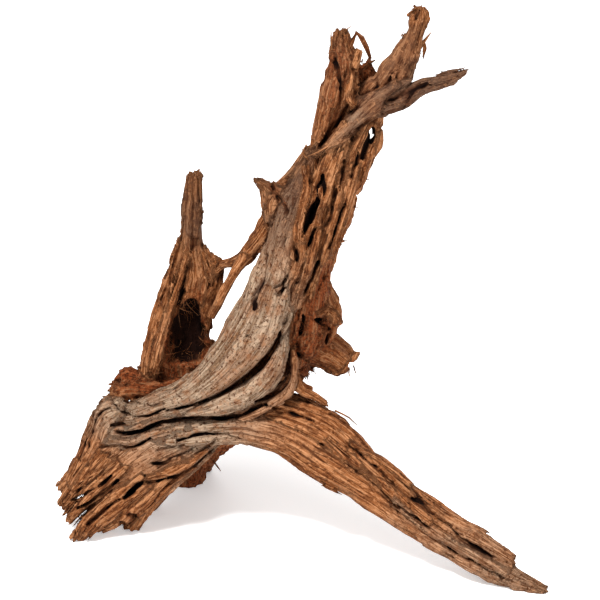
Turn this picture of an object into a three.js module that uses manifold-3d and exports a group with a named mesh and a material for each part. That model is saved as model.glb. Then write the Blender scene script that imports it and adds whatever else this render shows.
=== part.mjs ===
// A piece of driftwood: the stump of a root, worn by water into a twisted, torn shape. It is one
// natural solid, so the model is one mesh. The wood grew as long strands that run into each other,
// and each strand here is a round bar of changing size, bent along a curve. The strands are joined,
// the old cracks and hollows are cut out, and the undersides that touch the ground are cut level.
//
// Millimetres, +Z up. The origin is the middle of the bounding box, at the ground.

import * as THREE from 'three';
import { mergeVertices } from 'three/addons/utils/BufferGeometryUtils.js';
import Module from 'manifold-3d';

const wasm = await Module();
wasm.setup();

// ---------------------------------------------------------------- driving dimensions

const WOOD_COLOUR = 0x8a6446;
const WOOD_ROUGHNESS = 0.9;

// How far apart the rings of a strand are, and how many corners each ring has.
const RING_SPACING = 16;
const FEWEST_RINGS = 4;
const CORNERS = 8;

// A blunt end narrows to this share of the strand's size over this share of its length.
const END_SHARE = 0.72;
const END_LENGTH = 0.03;

// A ring has corners, so it is drawn a little large to keep the area of its true ellipse.
const RING_RADIUS = Math.sqrt((2 * Math.PI) / (CORNERS * Math.sin((2 * Math.PI) / CORNERS)));

// The block of space below the ground, which levels the feet.
const GROUND_BLOCK = { width: 600, depth: 400, height: 60 };

// The side of a strand that its width lies across: its front, or a side turned more or less upwards.
const FRONT = [0, -1, 0];
const TILTED = [0.2, -0.9, 0.3];
const UPPER = [0, -0.6, 0.8];
const SLANTED = [0, -0.9, 0.42];

// ---------------------------------------------------------------- strands of wood
// Each point of a path is [x, y, z, half width, half depth].

const trunk = {
  paleStrand: { side: FRONT, path: [
    [-133, 14, 84, 6, 8], [-116, 4, 82, 8, 11], [-93, 0, 93, 8, 13], [-72, 0, 103, 10, 15],
    [-46, 2, 125, 15, 18], [-27, 4, 152, 18, 20], [-16, 6, 182, 15, 19], [-9, 6, 206, 13, 17],
    [-1, 6, 232, 12, 15], [6, 8, 254, 8, 12], [12, 12, 270, 4, 8],
  ] },
  brownStrand: { side: FRONT, path: [
    [-11, 24, 113, 10, 14], [1, 22, 135, 15, 17], [7, 16, 165, 12, 16], [11, 10, 192, 9, 15],
    [19, 6, 219, 10, 16], [28, 6, 245, 11, 15], [36, 8, 267, 10, 13], [43, 12, 283, 8, 11],
    [49, 14, 298, 6, 9], [55, 15, 311, 3, 6],
  ] },
  middleStrand: { side: FRONT, path: [
    [-8, 2, 169, 6, 9], [0, -4, 199, 8, 10], [5, -5, 224, 8, 10], [13, -4, 251, 8, 10],
    [21, 0, 273, 7, 9], [28, 4, 290, 5, 8],
  ] },
  core: { side: FRONT, path: [
    [-58, 22, 78, 17, 14], [-33, 24, 105, 18, 18], [-11, 26, 143, 18, 19], [1, 26, 185, 16, 19],
    [14, 26, 226, 15, 17], [26, 24, 257, 13, 14], [34, 20, 284, 10, 11],
  ] },
  backStrand: { side: FRONT, path: [
    [-33, 42, 80, 14, 12], [-12, 46, 118, 15, 14], [0, 46, 163, 13, 13], [12, 42, 212, 12, 13],
    [25, 38, 249, 10, 11], [32, 30, 277, 7, 8],
  ] },
  backTwist: { side: FRONT, path: [
    [-94, 32, 62, 9, 8], [-62, 44, 84, 10, 9], [-32, 52, 114, 9, 9], [-12, 55, 155, 8, 8],
    [6, 51, 202, 8, 8], [20, 44, 240, 7, 8], [31, 35, 268, 5, 6],
  ] },
  backRidge: { side: FRONT, path: [
    [-40, 66, 62, 9, 9], [-16, 58, 94, 9, 9], [4, 50, 130, 9, 9], [14, 45, 170, 8, 8],
    [23, 38, 213, 8, 8], [34, 30, 252, 6, 7],
  ] },
  secondStrand: { side: FRONT, path: [
    [-127, 2, 71, 4, 8], [-100, -4, 83, 4, 9], [-76, -6, 91, 4, 10], [-53, -8, 99, 6, 11],
    [-34, -8, 108, 8, 12], [-21, -6, 122, 9, 12], [-13, -2, 136, 5, 9], [-10, 2, 146, 3, 5],
  ] },
  lip: { side: FRONT, path: [
    [-41, -8, 90, 4, 8], [-24, -10, 98, 4, 8], [-11, -8, 106, 4, 8],
    [-5, -2, 116, 3, 8], [-4, 6, 130, 4, 8],
  ] },
  lipSplinter: { side: FRONT, path: [
    [-5, 0, 116, 3, 6], [1, -2, 106, 3, 5], [9, -4, 102, 3, 4], [17, -6, 97, 2, 4],
  ] },
  thorn: { side: FRONT, path: [
    [0, 14, 237, 9, 9], [-10, 14, 239, 6, 7], [-18, 14, 241.5, 4, 4], [-27, 14, 247, 1.5, 1.5],
  ] },
  thornEdge: { side: FRONT, path: [
    [-26, 14, 246.5, 1.3, 1.6], [-23.5, 13, 241, 2.2, 3], [-20.5, 12, 233, 3, 4], [-17, 12, 224, 4, 6],
  ] },
  thornRidge: { side: FRONT, path: [
    [7, 16, 267, 5, 7], [-1, 16, 252, 6, 8], [-10, 16, 243, 5, 6],
    [-17, 14, 233, 6, 8], [-15, 14, 217, 5, 8],
  ] },
};

const crown = {
  plate: { side: FRONT, path: [
    [11, 16, 260, 6, 8], [16, 14, 280, 9, 9], [22, 14, 301, 11, 8], [26, 16, 322, 11, 7],
    [25, 18, 334, 8, 5], [25, 19, 343, 5, 3],
  ] },
  knob: { side: FRONT, path: [
    [39, 14, 296, 8, 10], [50, 14, 309, 9, 10], [59, 16, 318, 11, 9], [66, 18, 332, 8, 8],
    [70, 18, 342, 5.5, 7], [72, 18, 349.5, 6.4, 7], [73, 18, 354.5, 5.8, 6.4], [73, 18, 358.5, 3.4, 4],
  ] },
  sideBranch: { side: FRONT, path: [
    [41, 12, 298, 8, 9], [59, 8, 304, 8, 8], [76, 2, 314, 5.6, 6],
    [89, -2, 319, 4.4, 5], [101, -5, 325, 2.8, 3],
  ] },
  backTear: { side: FRONT, path: [
    [29, 24, 278, 6.5, 7], [36, 26, 294, 7.5, 6], [40, 27, 307, 7.5, 5], [41, 27, 320, 5, 4],
  ] },
  diagonalBand: { side: FRONT, path: [
    [60, 5.5, 313.5, 2.5, 6], [51.5, 5, 306.5, 4.5, 7], [42.5, 1, 300, 5.5, 7], [33.5, 2, 291.5, 5, 7],
    [26, -2, 285, 3.5, 6], [17.5, -3, 276, 2, 4],
  ] },
  looseLoop: { side: FRONT, path: [
    [43, 8, 263, 3, 4], [48, 6, 273, 3, 3], [49, 6, 281, 2, 3], [44, 8, 289, 3, 3],
  ] },
};

const spike = {
  shaft: { side: FRONT, path: [
    [-82, 34, 91, 25, 14], [-82, 36, 119, 23, 15], [-79, 38, 146, 18, 14], [-73, 38, 173, 13.5, 11],
    [-72, 38, 196, 8, 9], [-70, 38, 221, 5.8, 7], [-69, 38, 243, 4, 4],
  ] },
  outerWall: { side: FRONT, path: [
    [-102, 28, 95, 6, 9], [-101, 28, 120, 5, 9], [-94, 29, 147, 4, 8],
    [-86, 31, 172, 3, 7], [-79, 34, 197, 2, 4],
  ] },
  rib: { side: FRONT, path: [
    [-74, 28.5, 188.5, 1.6, 4], [-78.5, 28, 173, 2.4, 6], [-85, 27, 155, 3, 7], [-90.5, 24, 138.5, 3.6, 8],
    [-95, 23, 122.5, 4, 9], [-99.5, 23, 104.5, 4, 9],
  ] },
  webPlate: { side: FRONT, path: [
    [-64, 36, 190, 3.5, 5], [-59, 36, 177, 6, 5], [-57, 34, 166, 6, 5],
    [-63, 34, 151, 6, 6], [-70, 32, 133, 8, 7],
  ] },
  innerFlank: { side: FRONT, path: [
    [-57, 36, 182, 3, 5], [-58, 36, 169, 3, 5], [-63, 35, 154, 3, 6], [-68, 32, 136, 5, 6],
  ] },
  strut: { side: FRONT, path: [
    [-14, 16, 228, 6, 7], [-23, 20, 211, 5.5, 6], [-31, 24, 198, 5, 6], [-37, 27, 189, 4, 5],
    [-45, 30, 184, 3.4, 4], [-52, 33, 180, 3.4, 4], [-59, 36, 172, 5, 5],
  ] },
  strutSplinter: { side: FRONT, path: [
    [-35, 22, 191, 3.2, 4], [-43, 18, 180, 3, 3], [-49, 15, 170, 2.6, 3], [-58, 14, 151, 1.8, 2],
  ] },
};

const stub = {
  limb: { side: FRONT, path: [
    [-3, 30, 135, 13, 17], [10, 30, 124, 13, 18], [20, 28, 118, 12, 15], [30, 25, 111, 10, 12],
  ] },
  boss: { side: FRONT, path: [
    [11, 18, 172, 8, 10], [17, 18, 159, 9, 10], [21, 19, 150, 6, 9], [15, 22, 134, 6, 10],
  ] },
  tuft: { side: FRONT, path: [
    [-9, 30, 119, 6, 8], [-1, 28, 110, 6, 8], [4, 28, 104, 4, 5],
  ] },
};

const branch = {
  upperStrand: { side: FRONT, path: [
    [-34, 6, 87, 10, 14], [-9, 0, 87, 12, 16], [15, -8, 78, 14, 15], [37, -20, 64, 12, 13],
    [63, -34, 47, 10, 11], [92, -50, 33, 9, 10], [117, -62, 23, 9, 9], [137, -71, 16, 5, 6],
  ] },
  lowerStrand: { side: FRONT, path: [
    [-101, 0, 69, 10, 14], [-70, -4, 76, 10, 16], [-40, -8, 81, 9, 16], [-13, -14, 77, 10, 15],
    [13, -22, 62, 12, 13], [40, -32, 49, 11, 12], [66, -44, 35, 10, 10], [92, -56, 23, 9, 9],
    [117, -68, 14, 9, 8], [136, -74, 6, 8, 7], [158, -80, -1, 3, 4],
  ] },
  backStrand: { side: FRONT, path: [
    [-42, 32, 76, 12, 12], [-8, 14, 76, 12, 11], [30, -6, 60, 11, 10], [66, -26, 42, 9, 9],
    [100, -46, 26, 8, 8], [126, -60, 15, 6, 7],
  ] },
};

const fan = {
  web: { side: TILTED, path: [
    [-57, 2, 77, 12, 14], [-81, -4, 67, 22, 14], [-105, -6, 54, 28, 13], [-125, -8, 38, 26, 11],
    [-139, -10, 25, 22, 8],
  ] },
  rim: { side: FRONT, path: [
    [-126, 12, 88, 7, 10], [-136, 8, 73, 7, 10], [-143, 6, 55, 6, 10],
    [-152, 4, 38, 6, 9], [-163, 4, 24, 5, 7],
  ] },
  innerRim: { side: FRONT, path: [
    [-119, 4, 90, 6, 10], [-130, 2, 82, 7, 10], [-136, 0, 69, 7, 10],
    [-144, -3, 53, 7, 9], [-154, -6, 36, 5, 8],
  ] },
  firstFinger: { side: FRONT, path: [
    [-129, -8, 61, 7, 9], [-142, -8, 44, 6, 8], [-161, -11, 21, 4, 4],
  ] },
  secondFinger: { side: FRONT, path: [
    [-118, -12, 56, 6, 9], [-136, -14, 37, 5, 7], [-156, -14, 13, 3, 4],
  ] },
  thirdFinger: { side: FRONT, path: [
    [-103, -14, 46, 8, 10], [-124, -17, 29, 8, 8], [-141, -19, 13, 7, 7], [-151, -19, 0, 5, 6],
  ] },
  fourthFinger: { side: FRONT, path: [
    [-78, -8, 60, 11, 12], [-100, -10, 39, 10, 13], [-120, -10, 18, 10, 12], [-137, -8, 2, 6, 7],
  ] },
  fifthFinger: { side: FRONT, path: [
    [-65, 0, 64, 9, 12], [-90, -2, 44, 8, 12], [-104, -4, 21, 7, 10], [-116, -7, 0, 6, 8],
  ] },
  backStrand: { side: FRONT, path: [
    [-66, 30, 65, 18, 14], [-96, 24, 64, 18, 13], [-120, 16, 65, 15, 12], [-136, 10, 56, 10, 10],
  ] },
  crumbledLedge: { side: FRONT, path: [
    [-126, 16, 95, 6, 9], [-115, 20, 95, 9, 11], [-99, 25, 92, 10, 13],
    [-82, 28, 94, 10, 13], [-65, 31, 98, 7, 10],
  ] },
  ledgeCrumb: { side: FRONT, path: [
    [-123, 16, 101, 4, 6], [-117, 20, 103, 5, 7], [-108, 24, 100, 4, 6],
  ] },
};

const rearRoot = {
  belly: { side: UPPER, path: [
    [-34, 30, 74, 14, 15], [-56, 44, 50, 15, 17], [-74, 54, 26, 14, 14], [-84, 60, -6, 12, 12],
  ] },
  heel: { side: UPPER, path: [
    [-7, 46, 97, 12, 15], [-30, 58, 70, 13, 14], [-56, 66, 40, 12, 12], [-80, 72, -4, 10, 11],
  ] },
  underWeb: { side: UPPER, path: [
    [-48, 26, 70, 15, 12], [-72, 30, 50, 17, 12], [-94, 28, 30, 16, 11], [-112, 22, 4, 12, 9],
  ] },
};

// Old cracks and hollows, cut out of the joined strands.
const hollows = {
  rottenPocket: { side: FRONT, path: [
    [-71, 20, 157, 4, 10], [-74, 20, 147, 10, 12], [-75, 20, 135, 13.5, 13], [-76, 19, 122, 14, 12],
  ] },
  mainCrack: { side: SLANTED, path: [
    [-15.5, -7, 141.5, 1.3, 12], [-21, -8, 133, 2.1, 12],
    [-27.5, -8, 123.5, 3, 12], [-35, -8, 117, 2.8, 12],
    [-43.5, -9, 112, 1.7, 12], [-54, -11, 106, 1.1, 12],
  ] },
  lipCrack: { side: SLANTED, path: [
    [-6.5, -7, 119.5, 1.2, 10], [-9, -9, 113.5, 1.5, 10],
    [-15, -9.5, 107.5, 1.4, 10], [-22.5, -12, 104.5, 1.1, 10],
  ] },
  longCrack: { side: SLANTED, path: [
    [-113, -11, 77.5, 1.1, 9], [-103.5, -12.5, 81, 1.3, 9], [-83.5, -14, 89, 1, 9], [-53, -12, 90, 1, 9],
    [-31.5, -15, 97, 1.4, 9],
  ] },
  lensSlot: { side: SLANTED, path: [
    [11, -12.5, 244.5, 0.8, 12], [8, -13.5, 239, 1.7, 12],
    [5.5, -14.5, 232.5, 2.5, 12], [3.5, -16, 226.5, 2, 12],
    [2.5, -15.5, 221, 0.8, 12],
  ] },
  plateGap: { side: SLANTED, path: [
    [30, 1.5, 302, 0.8, 10], [20.5, -3, 289, 1.8, 10], [10.5, -2, 273, 0.8, 10],
  ] },
  loopHole: { side: SLANTED, path: [
    [43.5, 8, 274.5, 0.9, 18], [44.5, 8, 280, 2.3, 18], [44.5, 8, 285.5, 0.9, 18],
  ] },
  fanSlot: { side: SLANTED, path: [
    [-104, -22, 47, 0.8, 11], [-109, -22.5, 43.5, 1.7, 11],
    [-114, -18.5, 36.5, 2.1, 11], [-119, -19.5, 32, 1.3, 11],
  ] },
};

// ---------------------------------------------------------------- making the solids

// A closed geometry becomes a solid once its shared corners are merged and flat triangles are gone.
function toSolid(geometry) {
  geometry.deleteAttribute('normal');
  geometry.deleteAttribute('uv');
  const merged = mergeVertices(geometry);
  const triangles = [];
  const corners = merged.index.array;
  for (let i = 0; i < corners.length; i += 3) {
    const [a, b, c] = corners.slice(i, i + 3);
    if (a !== b && b !== c && c !== a) triangles.push(a, b, c);
  }
  return new wasm.Manifold(new wasm.Mesh({
    numProp: 3,
    vertProperties: new Float32Array(merged.attributes.position.array),
    triVerts: new Uint32Array(triangles),
  }));
}

// A straight bar one unit long, with blunt ends, turned about the Y axis.
function bar(rings) {
  const profile = [new THREE.Vector2(0, 0), new THREE.Vector2(END_SHARE * RING_RADIUS, 0)];
  for (let i = 0; i < rings; i += 1) {
    const along = THREE.MathUtils.lerp(END_LENGTH, 1 - END_LENGTH, i / (rings - 1));
    profile.push(new THREE.Vector2(RING_RADIUS, along));
  }
  profile.push(new THREE.Vector2(END_SHARE * RING_RADIUS, 1), new THREE.Vector2(0, 1));
  return new THREE.LatheGeometry(profile, CORNERS);
}

// The bar bent along a path: its X goes across the strand, its Y along it and its Z into the depth.
function strand({ side, path }) {
  const places = path.map(([x, y, z]) => new THREE.Vector3(x, y, z));
  const line = new THREE.CatmullRomCurve3(places, false, 'catmullrom');
  const sizes = path.map(([, , , width, depth]) => new THREE.Vector3(width, depth, 0));
  const size = new THREE.CatmullRomCurve3(sizes, false, 'catmullrom');
  const facing = new THREE.Vector3(...side);
  const rings = Math.max(FEWEST_RINGS, Math.round(line.getLength() / RING_SPACING));
  const geometry = bar(rings);
  const points = geometry.attributes.position;
  for (let i = 0; i < points.count; i += 1) {
    const along = points.getY(i);
    const half = size.getPoint(along);
    const tangent = line.getTangent(along);
    const across = tangent.clone().cross(facing).normalize();
    const deep = across.clone().cross(tangent);
    const place = line.getPoint(along)
      .addScaledVector(across, points.getX(i) * half.x)
      .addScaledVector(deep, points.getZ(i) * half.y);
    points.setXYZ(i, place.x, place.y, place.z);
  }
  return toSolid(geometry);
}

function groundBlock() {
  const { width, depth, height } = GROUND_BLOCK;
  return toSolid(new THREE.BoxGeometry(width, depth, height).translate(0, 0, -height / 2));
}

// ---------------------------------------------------------------- the piece of driftwood

const groups = [trunk, crown, spike, stub, branch, fan, rearRoot];
const strands = groups.flatMap((group) => Object.values(group)).map(strand);
const cuts = Object.values(hollows).map(strand);
const joined = strands.reduce((wood, next) => wood.add(next));
const worn = cuts.reduce((wood, cut) => wood.subtract(cut), joined).subtract(groundBlock());

const { vertProperties, triVerts } = worn.getMesh();
const geometry = new THREE.BufferGeometry();
geometry.setAttribute('position', new THREE.BufferAttribute(new Float32Array(vertProperties), 3));
geometry.setIndex(new THREE.BufferAttribute(new Uint32Array(triVerts), 1));
geometry.computeBoundingBox();
const middle = geometry.boundingBox.getCenter(new THREE.Vector3());
geometry.translate(-middle.x, -middle.y, -geometry.boundingBox.min.z);
geometry.computeVertexNormals();

const material = new THREE.MeshStandardMaterial({
  color: WOOD_COLOUR,
  roughness: WOOD_ROUGHNESS,
  metalness: 0,
});
const driftwood = new THREE.Mesh(geometry, material);
driftwood.name = 'driftwood';

const piece = new THREE.Group();
piece.add(driftwood);

export default piece;
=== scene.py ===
"""A weathered piece of driftwood, on a plain pale floor.

The wood is one solid. It grew as long strands that run into each other, so its surface is worked out
as a field: the distance to the nearest strand, softly joined, with furrows, cracks, pits and torn ends
cut along the grain. The field is sampled on a grid near the surface and skinned with a mesh.
Loose fibres that are too thin for the field are tubes carried along short curves.

Lengths in the strand tables are millimetres in the wood's own frame; meshes are made in metres.
"""

from __future__ import annotations

import logging
import time
from dataclasses import dataclass
from enum import Enum

import bpy
import numpy as np
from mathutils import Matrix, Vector


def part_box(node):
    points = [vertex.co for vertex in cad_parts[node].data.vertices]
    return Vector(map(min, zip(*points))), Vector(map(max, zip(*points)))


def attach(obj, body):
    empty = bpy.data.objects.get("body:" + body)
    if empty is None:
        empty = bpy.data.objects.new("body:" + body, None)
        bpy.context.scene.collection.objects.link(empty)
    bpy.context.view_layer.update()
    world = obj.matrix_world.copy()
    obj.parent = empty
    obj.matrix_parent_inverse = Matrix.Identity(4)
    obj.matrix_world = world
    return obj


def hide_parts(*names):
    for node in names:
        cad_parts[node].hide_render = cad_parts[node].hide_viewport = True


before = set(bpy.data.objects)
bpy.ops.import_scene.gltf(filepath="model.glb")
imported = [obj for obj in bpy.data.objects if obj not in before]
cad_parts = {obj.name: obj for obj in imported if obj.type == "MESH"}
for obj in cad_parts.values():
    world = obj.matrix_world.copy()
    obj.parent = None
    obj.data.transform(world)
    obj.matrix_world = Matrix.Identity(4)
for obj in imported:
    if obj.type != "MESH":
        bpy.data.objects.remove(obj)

log = logging.getLogger("driftwood")

Array = np.ndarray
MM = 0.001
NODE = "driftwood"
BODY = "root"


# ------------------------------------------------------------------ the strands of the wood


class Side(Enum):
    """The side of a strand that its width lies across."""

    FRONT = (0.0, -1.0, 0.0)
    TILTED = (0.2, -0.9, 0.3)
    UPPER = (0.0, -0.6, 0.8)
    SLANTED = (0.0, -0.9, 0.42)


@dataclass(frozen=True)
class Strand:
    """One strand of wood: a bent bar whose section is an ellipse.

    Attributes:
        path: points (x, y, z, half width, half depth) in millimetres, joined by a smooth curve.
        side: the side that the width lies across.
        pale: how bleached the wood is, from 0 to 1, spread evenly along the path.
        rot: how red and crumbly the wood is, from 0 to 1, spread evenly along the path.
        grey: how silvery and dull the wood is, from 0 to 1, spread evenly along the path.
        relief: how deep the furrows are, against the usual depth.
        tear: how far torn fibres stand out of the two ends, in millimetres.
    """

    path: tuple[tuple[float, ...], ...]
    side: Side = Side.FRONT
    pale: tuple[float, ...] = (0.1,)
    rot: tuple[float, ...] = (0.0,)
    grey: tuple[float, ...] = (0.0,)
    relief: float = 1.0
    tear: float = 3.0


def crack(depth: float, rot: float, *points: tuple[float, float, float, float]) -> Strand:
    """Describe a narrow cut into the wood.

    Args:
        depth: how far it goes in, in millimetres.
        rot: how crumbly it is inside, from 0 to 1.
        points: x, y, z on the surface and half width, in millimetres.

    Returns:
        The strand to take away.
    """
    return Strand(tuple((*point, depth) for point in points), side=Side.SLANTED, rot=(rot,), tear=0.5)


TRUNK = {
    "pale_strand": Strand(
        ((-133, 14, 84, 6, 8), (-116, 4, 82, 8, 11), (-93, 0, 93, 8, 13), (-72, 0, 103, 10, 15),
         (-46, 2, 125, 15, 18), (-27, 4, 152, 18, 20), (-16, 6, 182, 15, 19), (-9, 6, 206, 13, 17),
         (-1, 6, 232, 12, 15), (6, 8, 254, 8, 12), (12, 12, 270, 4, 8)),
        pale=(0.6, 0.8, 0.95, 1.0, 0.9, 0.5, 0.3, 0.15), grey=(0.0, 0.0, 0.1, 0.3, 0.8, 0.6), relief=0.9),
    "brown_strand": Strand(
        ((-11, 24, 113, 10, 14), (1, 22, 135, 15, 17), (7, 16, 165, 12, 16), (11, 10, 192, 9, 15),
         (19, 6, 219, 10, 16), (28, 6, 245, 11, 15), (36, 8, 267, 10, 13), (43, 12, 283, 8, 11),
         (49, 14, 298, 6, 9), (55, 15, 311, 3, 6)),
        pale=(0.0, 0.0, 0.1, 0.1, 0.0), rot=(0.9, 0.8, 0.4, 0.25, 0.3), grey=(0.0, 0.1, 0.2)),
    "middle_strand": Strand(
        ((-8, 2, 169, 6, 9), (0, -4, 199, 8, 10), (5, -5, 224, 8, 10), (13, -4, 251, 8, 10),
         (21, 0, 273, 7, 9), (28, 4, 290, 5, 8)),
        pale=(0.5, 0.35, 0.2, 0.2, 0.1), relief=1.2),
    "core": Strand(
        ((-58, 22, 78, 17, 14), (-33, 24, 105, 18, 18), (-11, 26, 143, 18, 19), (1, 26, 185, 16, 19),
         (14, 26, 226, 15, 17), (26, 24, 257, 13, 14), (34, 20, 284, 10, 11)),
        rot=(0.5, 0.4, 0.2, 0.1)),
    "back_strand": Strand(
        ((-33, 42, 80, 14, 12), (-12, 46, 118, 15, 14), (0, 46, 163, 13, 13), (12, 42, 212, 12, 13),
         (25, 38, 249, 10, 11), (32, 30, 277, 7, 8)),
        pale=(0.1, 0.3, 0.4, 0.2)),
    "back_twist": Strand(
        ((-94, 32, 62, 9, 8), (-62, 44, 84, 10, 9), (-32, 52, 114, 9, 9), (-12, 55, 155, 8, 8),
         (6, 51, 202, 8, 8), (20, 44, 240, 7, 8), (31, 35, 268, 5, 6)),
        pale=(0.3, 0.6, 0.8, 0.6, 0.3), grey=(0.1, 0.3, 0.4)),
    "back_ridge": Strand(
        ((-40, 66, 62, 9, 9), (-16, 58, 94, 9, 9), (4, 50, 130, 9, 9), (14, 45, 170, 8, 8),
         (23, 38, 213, 8, 8), (34, 30, 252, 6, 7)),
        pale=(0.1, 0.2, 0.3, 0.1), rot=(0.4, 0.2, 0.1)),
    "second_strand": Strand(
        ((-127, 2, 71, 4, 8), (-100, -4, 83, 4, 9), (-76, -6, 91, 4, 10), (-53, -8, 99, 6, 11),
         (-34, -8, 108, 8, 12), (-21, -6, 122, 9, 12), (-13, -2, 136, 5, 9), (-10, 2, 146, 3, 5)),
        pale=(0.4, 0.7, 0.95, 1.0, 1.0, 0.9), relief=0.7, tear=1.0),
    "lip": Strand(
        ((-41, -8, 90, 4, 8), (-24, -10, 98, 4, 8), (-11, -8, 106, 4, 8), (-5, -2, 116, 3, 8),
         (-4, 6, 130, 4, 8)),
        pale=(0.4, 0.5, 0.5, 0.3), relief=0.6),
    "lip_splinter": Strand(
        ((-5, 0, 116, 3, 6), (1, -2, 106, 3, 5), (9, -4, 102, 3, 4), (17, -6, 97, 2, 4)),
        rot=(0.3,), relief=0.7),
    "thorn": Strand(
        ((0, 14, 237, 9, 9), (-10, 14, 239, 6, 7), (-18, 14, 241.5, 3.4, 4), (-28, 14, 247.5, 0.7, 1.2)),
        grey=(0.4,), relief=0.6),
    "thorn_edge": Strand(
        ((-25, 14, 245, 0.7, 1.2), (-23, 13, 240, 1.8, 3), (-20.5, 12, 233, 3, 4), (-17, 12, 224, 4, 6)),
        pale=(0.2, 0.5), grey=(0.2,), relief=0.7, tear=0.5),
    "thorn_ridge": Strand(
        ((7, 16, 267, 5, 7), (-1, 16, 252, 6, 8), (-10, 16, 243, 5, 6), (-17, 14, 233, 6, 8),
         (-15, 14, 217, 5, 8)),
        pale=(0.2,), grey=(0.4,)),
}

CROWN = {
    "plate": Strand(
        ((11, 16, 260, 6, 8), (16, 14, 280, 9, 9), (22, 14, 301, 11, 8), (26, 16, 322, 11, 7),
         (25, 18, 334, 8, 5), (25, 19, 343, 5, 3)),
        rot=(0.1, 0.45, 0.5, 0.3), grey=(0.1, 0.4, 0.4), relief=1.1, tear=6.0),
    "knob": Strand(
        ((39, 14, 296, 8, 10), (50, 14, 309, 9, 10), (59, 16, 318, 11, 9), (66, 18, 332, 8, 8),
         (70, 18, 342, 5.5, 7), (72, 18, 349.5, 6.4, 7), (73, 18, 354.5, 5.8, 6.4), (73, 18, 358.5, 3.4, 4)),
        pale=(0.1, 0.2, 0.1, 0.1), grey=(0.5, 0.6, 0.4, 0.2), rot=(0.2, 0.3, 0.4), relief=1.5, tear=0.3),
    "side_branch": Strand(
        ((41, 12, 298, 8, 9), (59, 8, 304, 8, 8), (76, 2, 314, 5.6, 6), (89, -2, 319, 4.2, 5),
         (101, -5, 325, 2.7, 3)),
        pale=(0.1, 0.2, 0.3, 0.3), grey=(1.0, 1.0, 0.8, 0.6), relief=1.1, tear=1.5),
    "back_tear": Strand(
        ((29, 24, 278, 6.5, 7), (36, 26, 294, 7.5, 6), (40, 27, 307, 7.5, 5), (41, 27, 320, 5, 4)),
        rot=(0.5, 0.8), tear=5.0),
    "loose_loop": Strand(
        ((43, 8, 263, 3, 4), (48, 6, 273, 3, 3), (49, 6, 281, 2, 3), (44, 8, 289, 3, 3)),
        relief=0.5, tear=0.5),
}

SPIKE = {
    "shaft": Strand(
        ((-82, 34, 91, 25, 14), (-82, 36, 119, 23, 15), (-79, 38, 146, 18, 14), (-73, 38, 173, 13.5, 11),
         (-72, 38, 196, 8, 9), (-70, 38, 221, 6.4, 7), (-69, 38, 243, 5, 4.5)),
        pale=(0.0, 0.1, 0.3, 0.1, 0.0), rot=(0.8, 0.8, 0.4, 0.2, 0.2), grey=(0.0, 0.0, 0.2, 0.6, 0.4),
        tear=1.5),
    "outer_wall": Strand(
        ((-102, 28, 95, 6, 9), (-101, 28, 120, 5, 9), (-94, 29, 147, 4, 8), (-86, 31, 172, 3, 7),
         (-79, 34, 197, 2, 4)),
        pale=(0.1, 0.2, 0.1), tear=1.0),
    "web_plate": Strand(
        ((-64, 36, 190, 3.5, 5), (-59, 36, 177, 6, 5), (-57, 34, 166, 6, 5), (-63, 34, 151, 6, 6),
         (-70, 32, 133, 8, 7)),
        pale=(0.1,), rot=(0.1, 0.3), tear=1.0),
    "inner_flank": Strand(
        ((-57, 36, 182, 3, 5), (-58, 36, 169, 3, 5), (-63, 35, 154, 3, 6), (-68, 32, 136, 5, 6)),
        rot=(0.2,)),
    "strut": Strand(
        ((-14, 16, 228, 6, 7), (-23, 20, 211, 5.5, 6), (-31, 24, 198, 5, 6), (-37, 27, 189, 4, 5),
         (-45, 30, 184, 3, 4), (-52, 33, 180, 3, 4), (-59, 36, 172, 5, 5)),
        pale=(0.2,), relief=0.7),
    "strut_splinter": Strand(
        ((-35, 22, 191, 3, 4), (-43, 18, 180, 2.8, 3), (-49, 15, 170, 2.4, 3), (-58, 14, 151, 1.6, 2)),
        relief=0.4, tear=1.0),
}

STUB = {
    "limb": Strand(
        ((-3, 30, 135, 13, 17), (10, 30, 124, 13, 18), (20, 28, 118, 12, 15), (30, 25, 111, 10, 12)),
        rot=(0.8, 0.6, 0.3), relief=0.8, tear=0.5),
    "boss": Strand(
        ((11, 18, 172, 8, 10), (17, 18, 159, 9, 10), (21, 19, 150, 6, 9), (15, 22, 134, 6, 10)),
        pale=(0.1,), rot=(0.3, 0.5, 0.7)),
    "tuft": Strand(
        ((-9, 30, 119, 6, 8), (-1, 28, 110, 6, 8), (4, 28, 104, 4, 5)), rot=(1.0,), tear=4.0),
}

BRANCH = {
    "upper_strand": Strand(
        ((-34, 6, 87, 10, 14), (-9, 0, 87, 12, 16), (15, -8, 78, 14, 15), (37, -20, 64, 12, 13),
         (63, -34, 47, 10, 11), (92, -50, 33, 9, 10), (117, -62, 23, 9, 9), (137, -71, 16, 5, 6)),
        pale=(0.35, 0.2, 0.1, 0.2, 0.45, 0.5), rot=(0.0, 0.1, 0.1, 0.0)),
    "lower_strand": Strand(
        ((-101, 0, 69, 10, 14), (-70, -4, 76, 10, 16), (-40, -8, 81, 9, 16), (-13, -14, 77, 10, 15),
         (13, -22, 62, 12, 13), (40, -32, 49, 11, 12), (66, -44, 35, 10, 10), (92, -56, 23, 9, 9),
         (117, -68, 14, 9, 8), (136, -74, 6, 8, 7), (158, -80, -1, 3, 4)),
        pale=(0.9, 0.9, 0.5, 0.15, 0.15, 0.4, 0.5, 0.6, 0.5), relief=0.85),
    "back_strand": Strand(
        ((-42, 32, 76, 12, 12), (-8, 14, 76, 12, 11), (30, -6, 60, 11, 10), (66, -26, 42, 9, 9),
         (100, -46, 26, 8, 8), (126, -60, 15, 6, 7)),
        pale=(0.1, 0.2, 0.3)),
}

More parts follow.
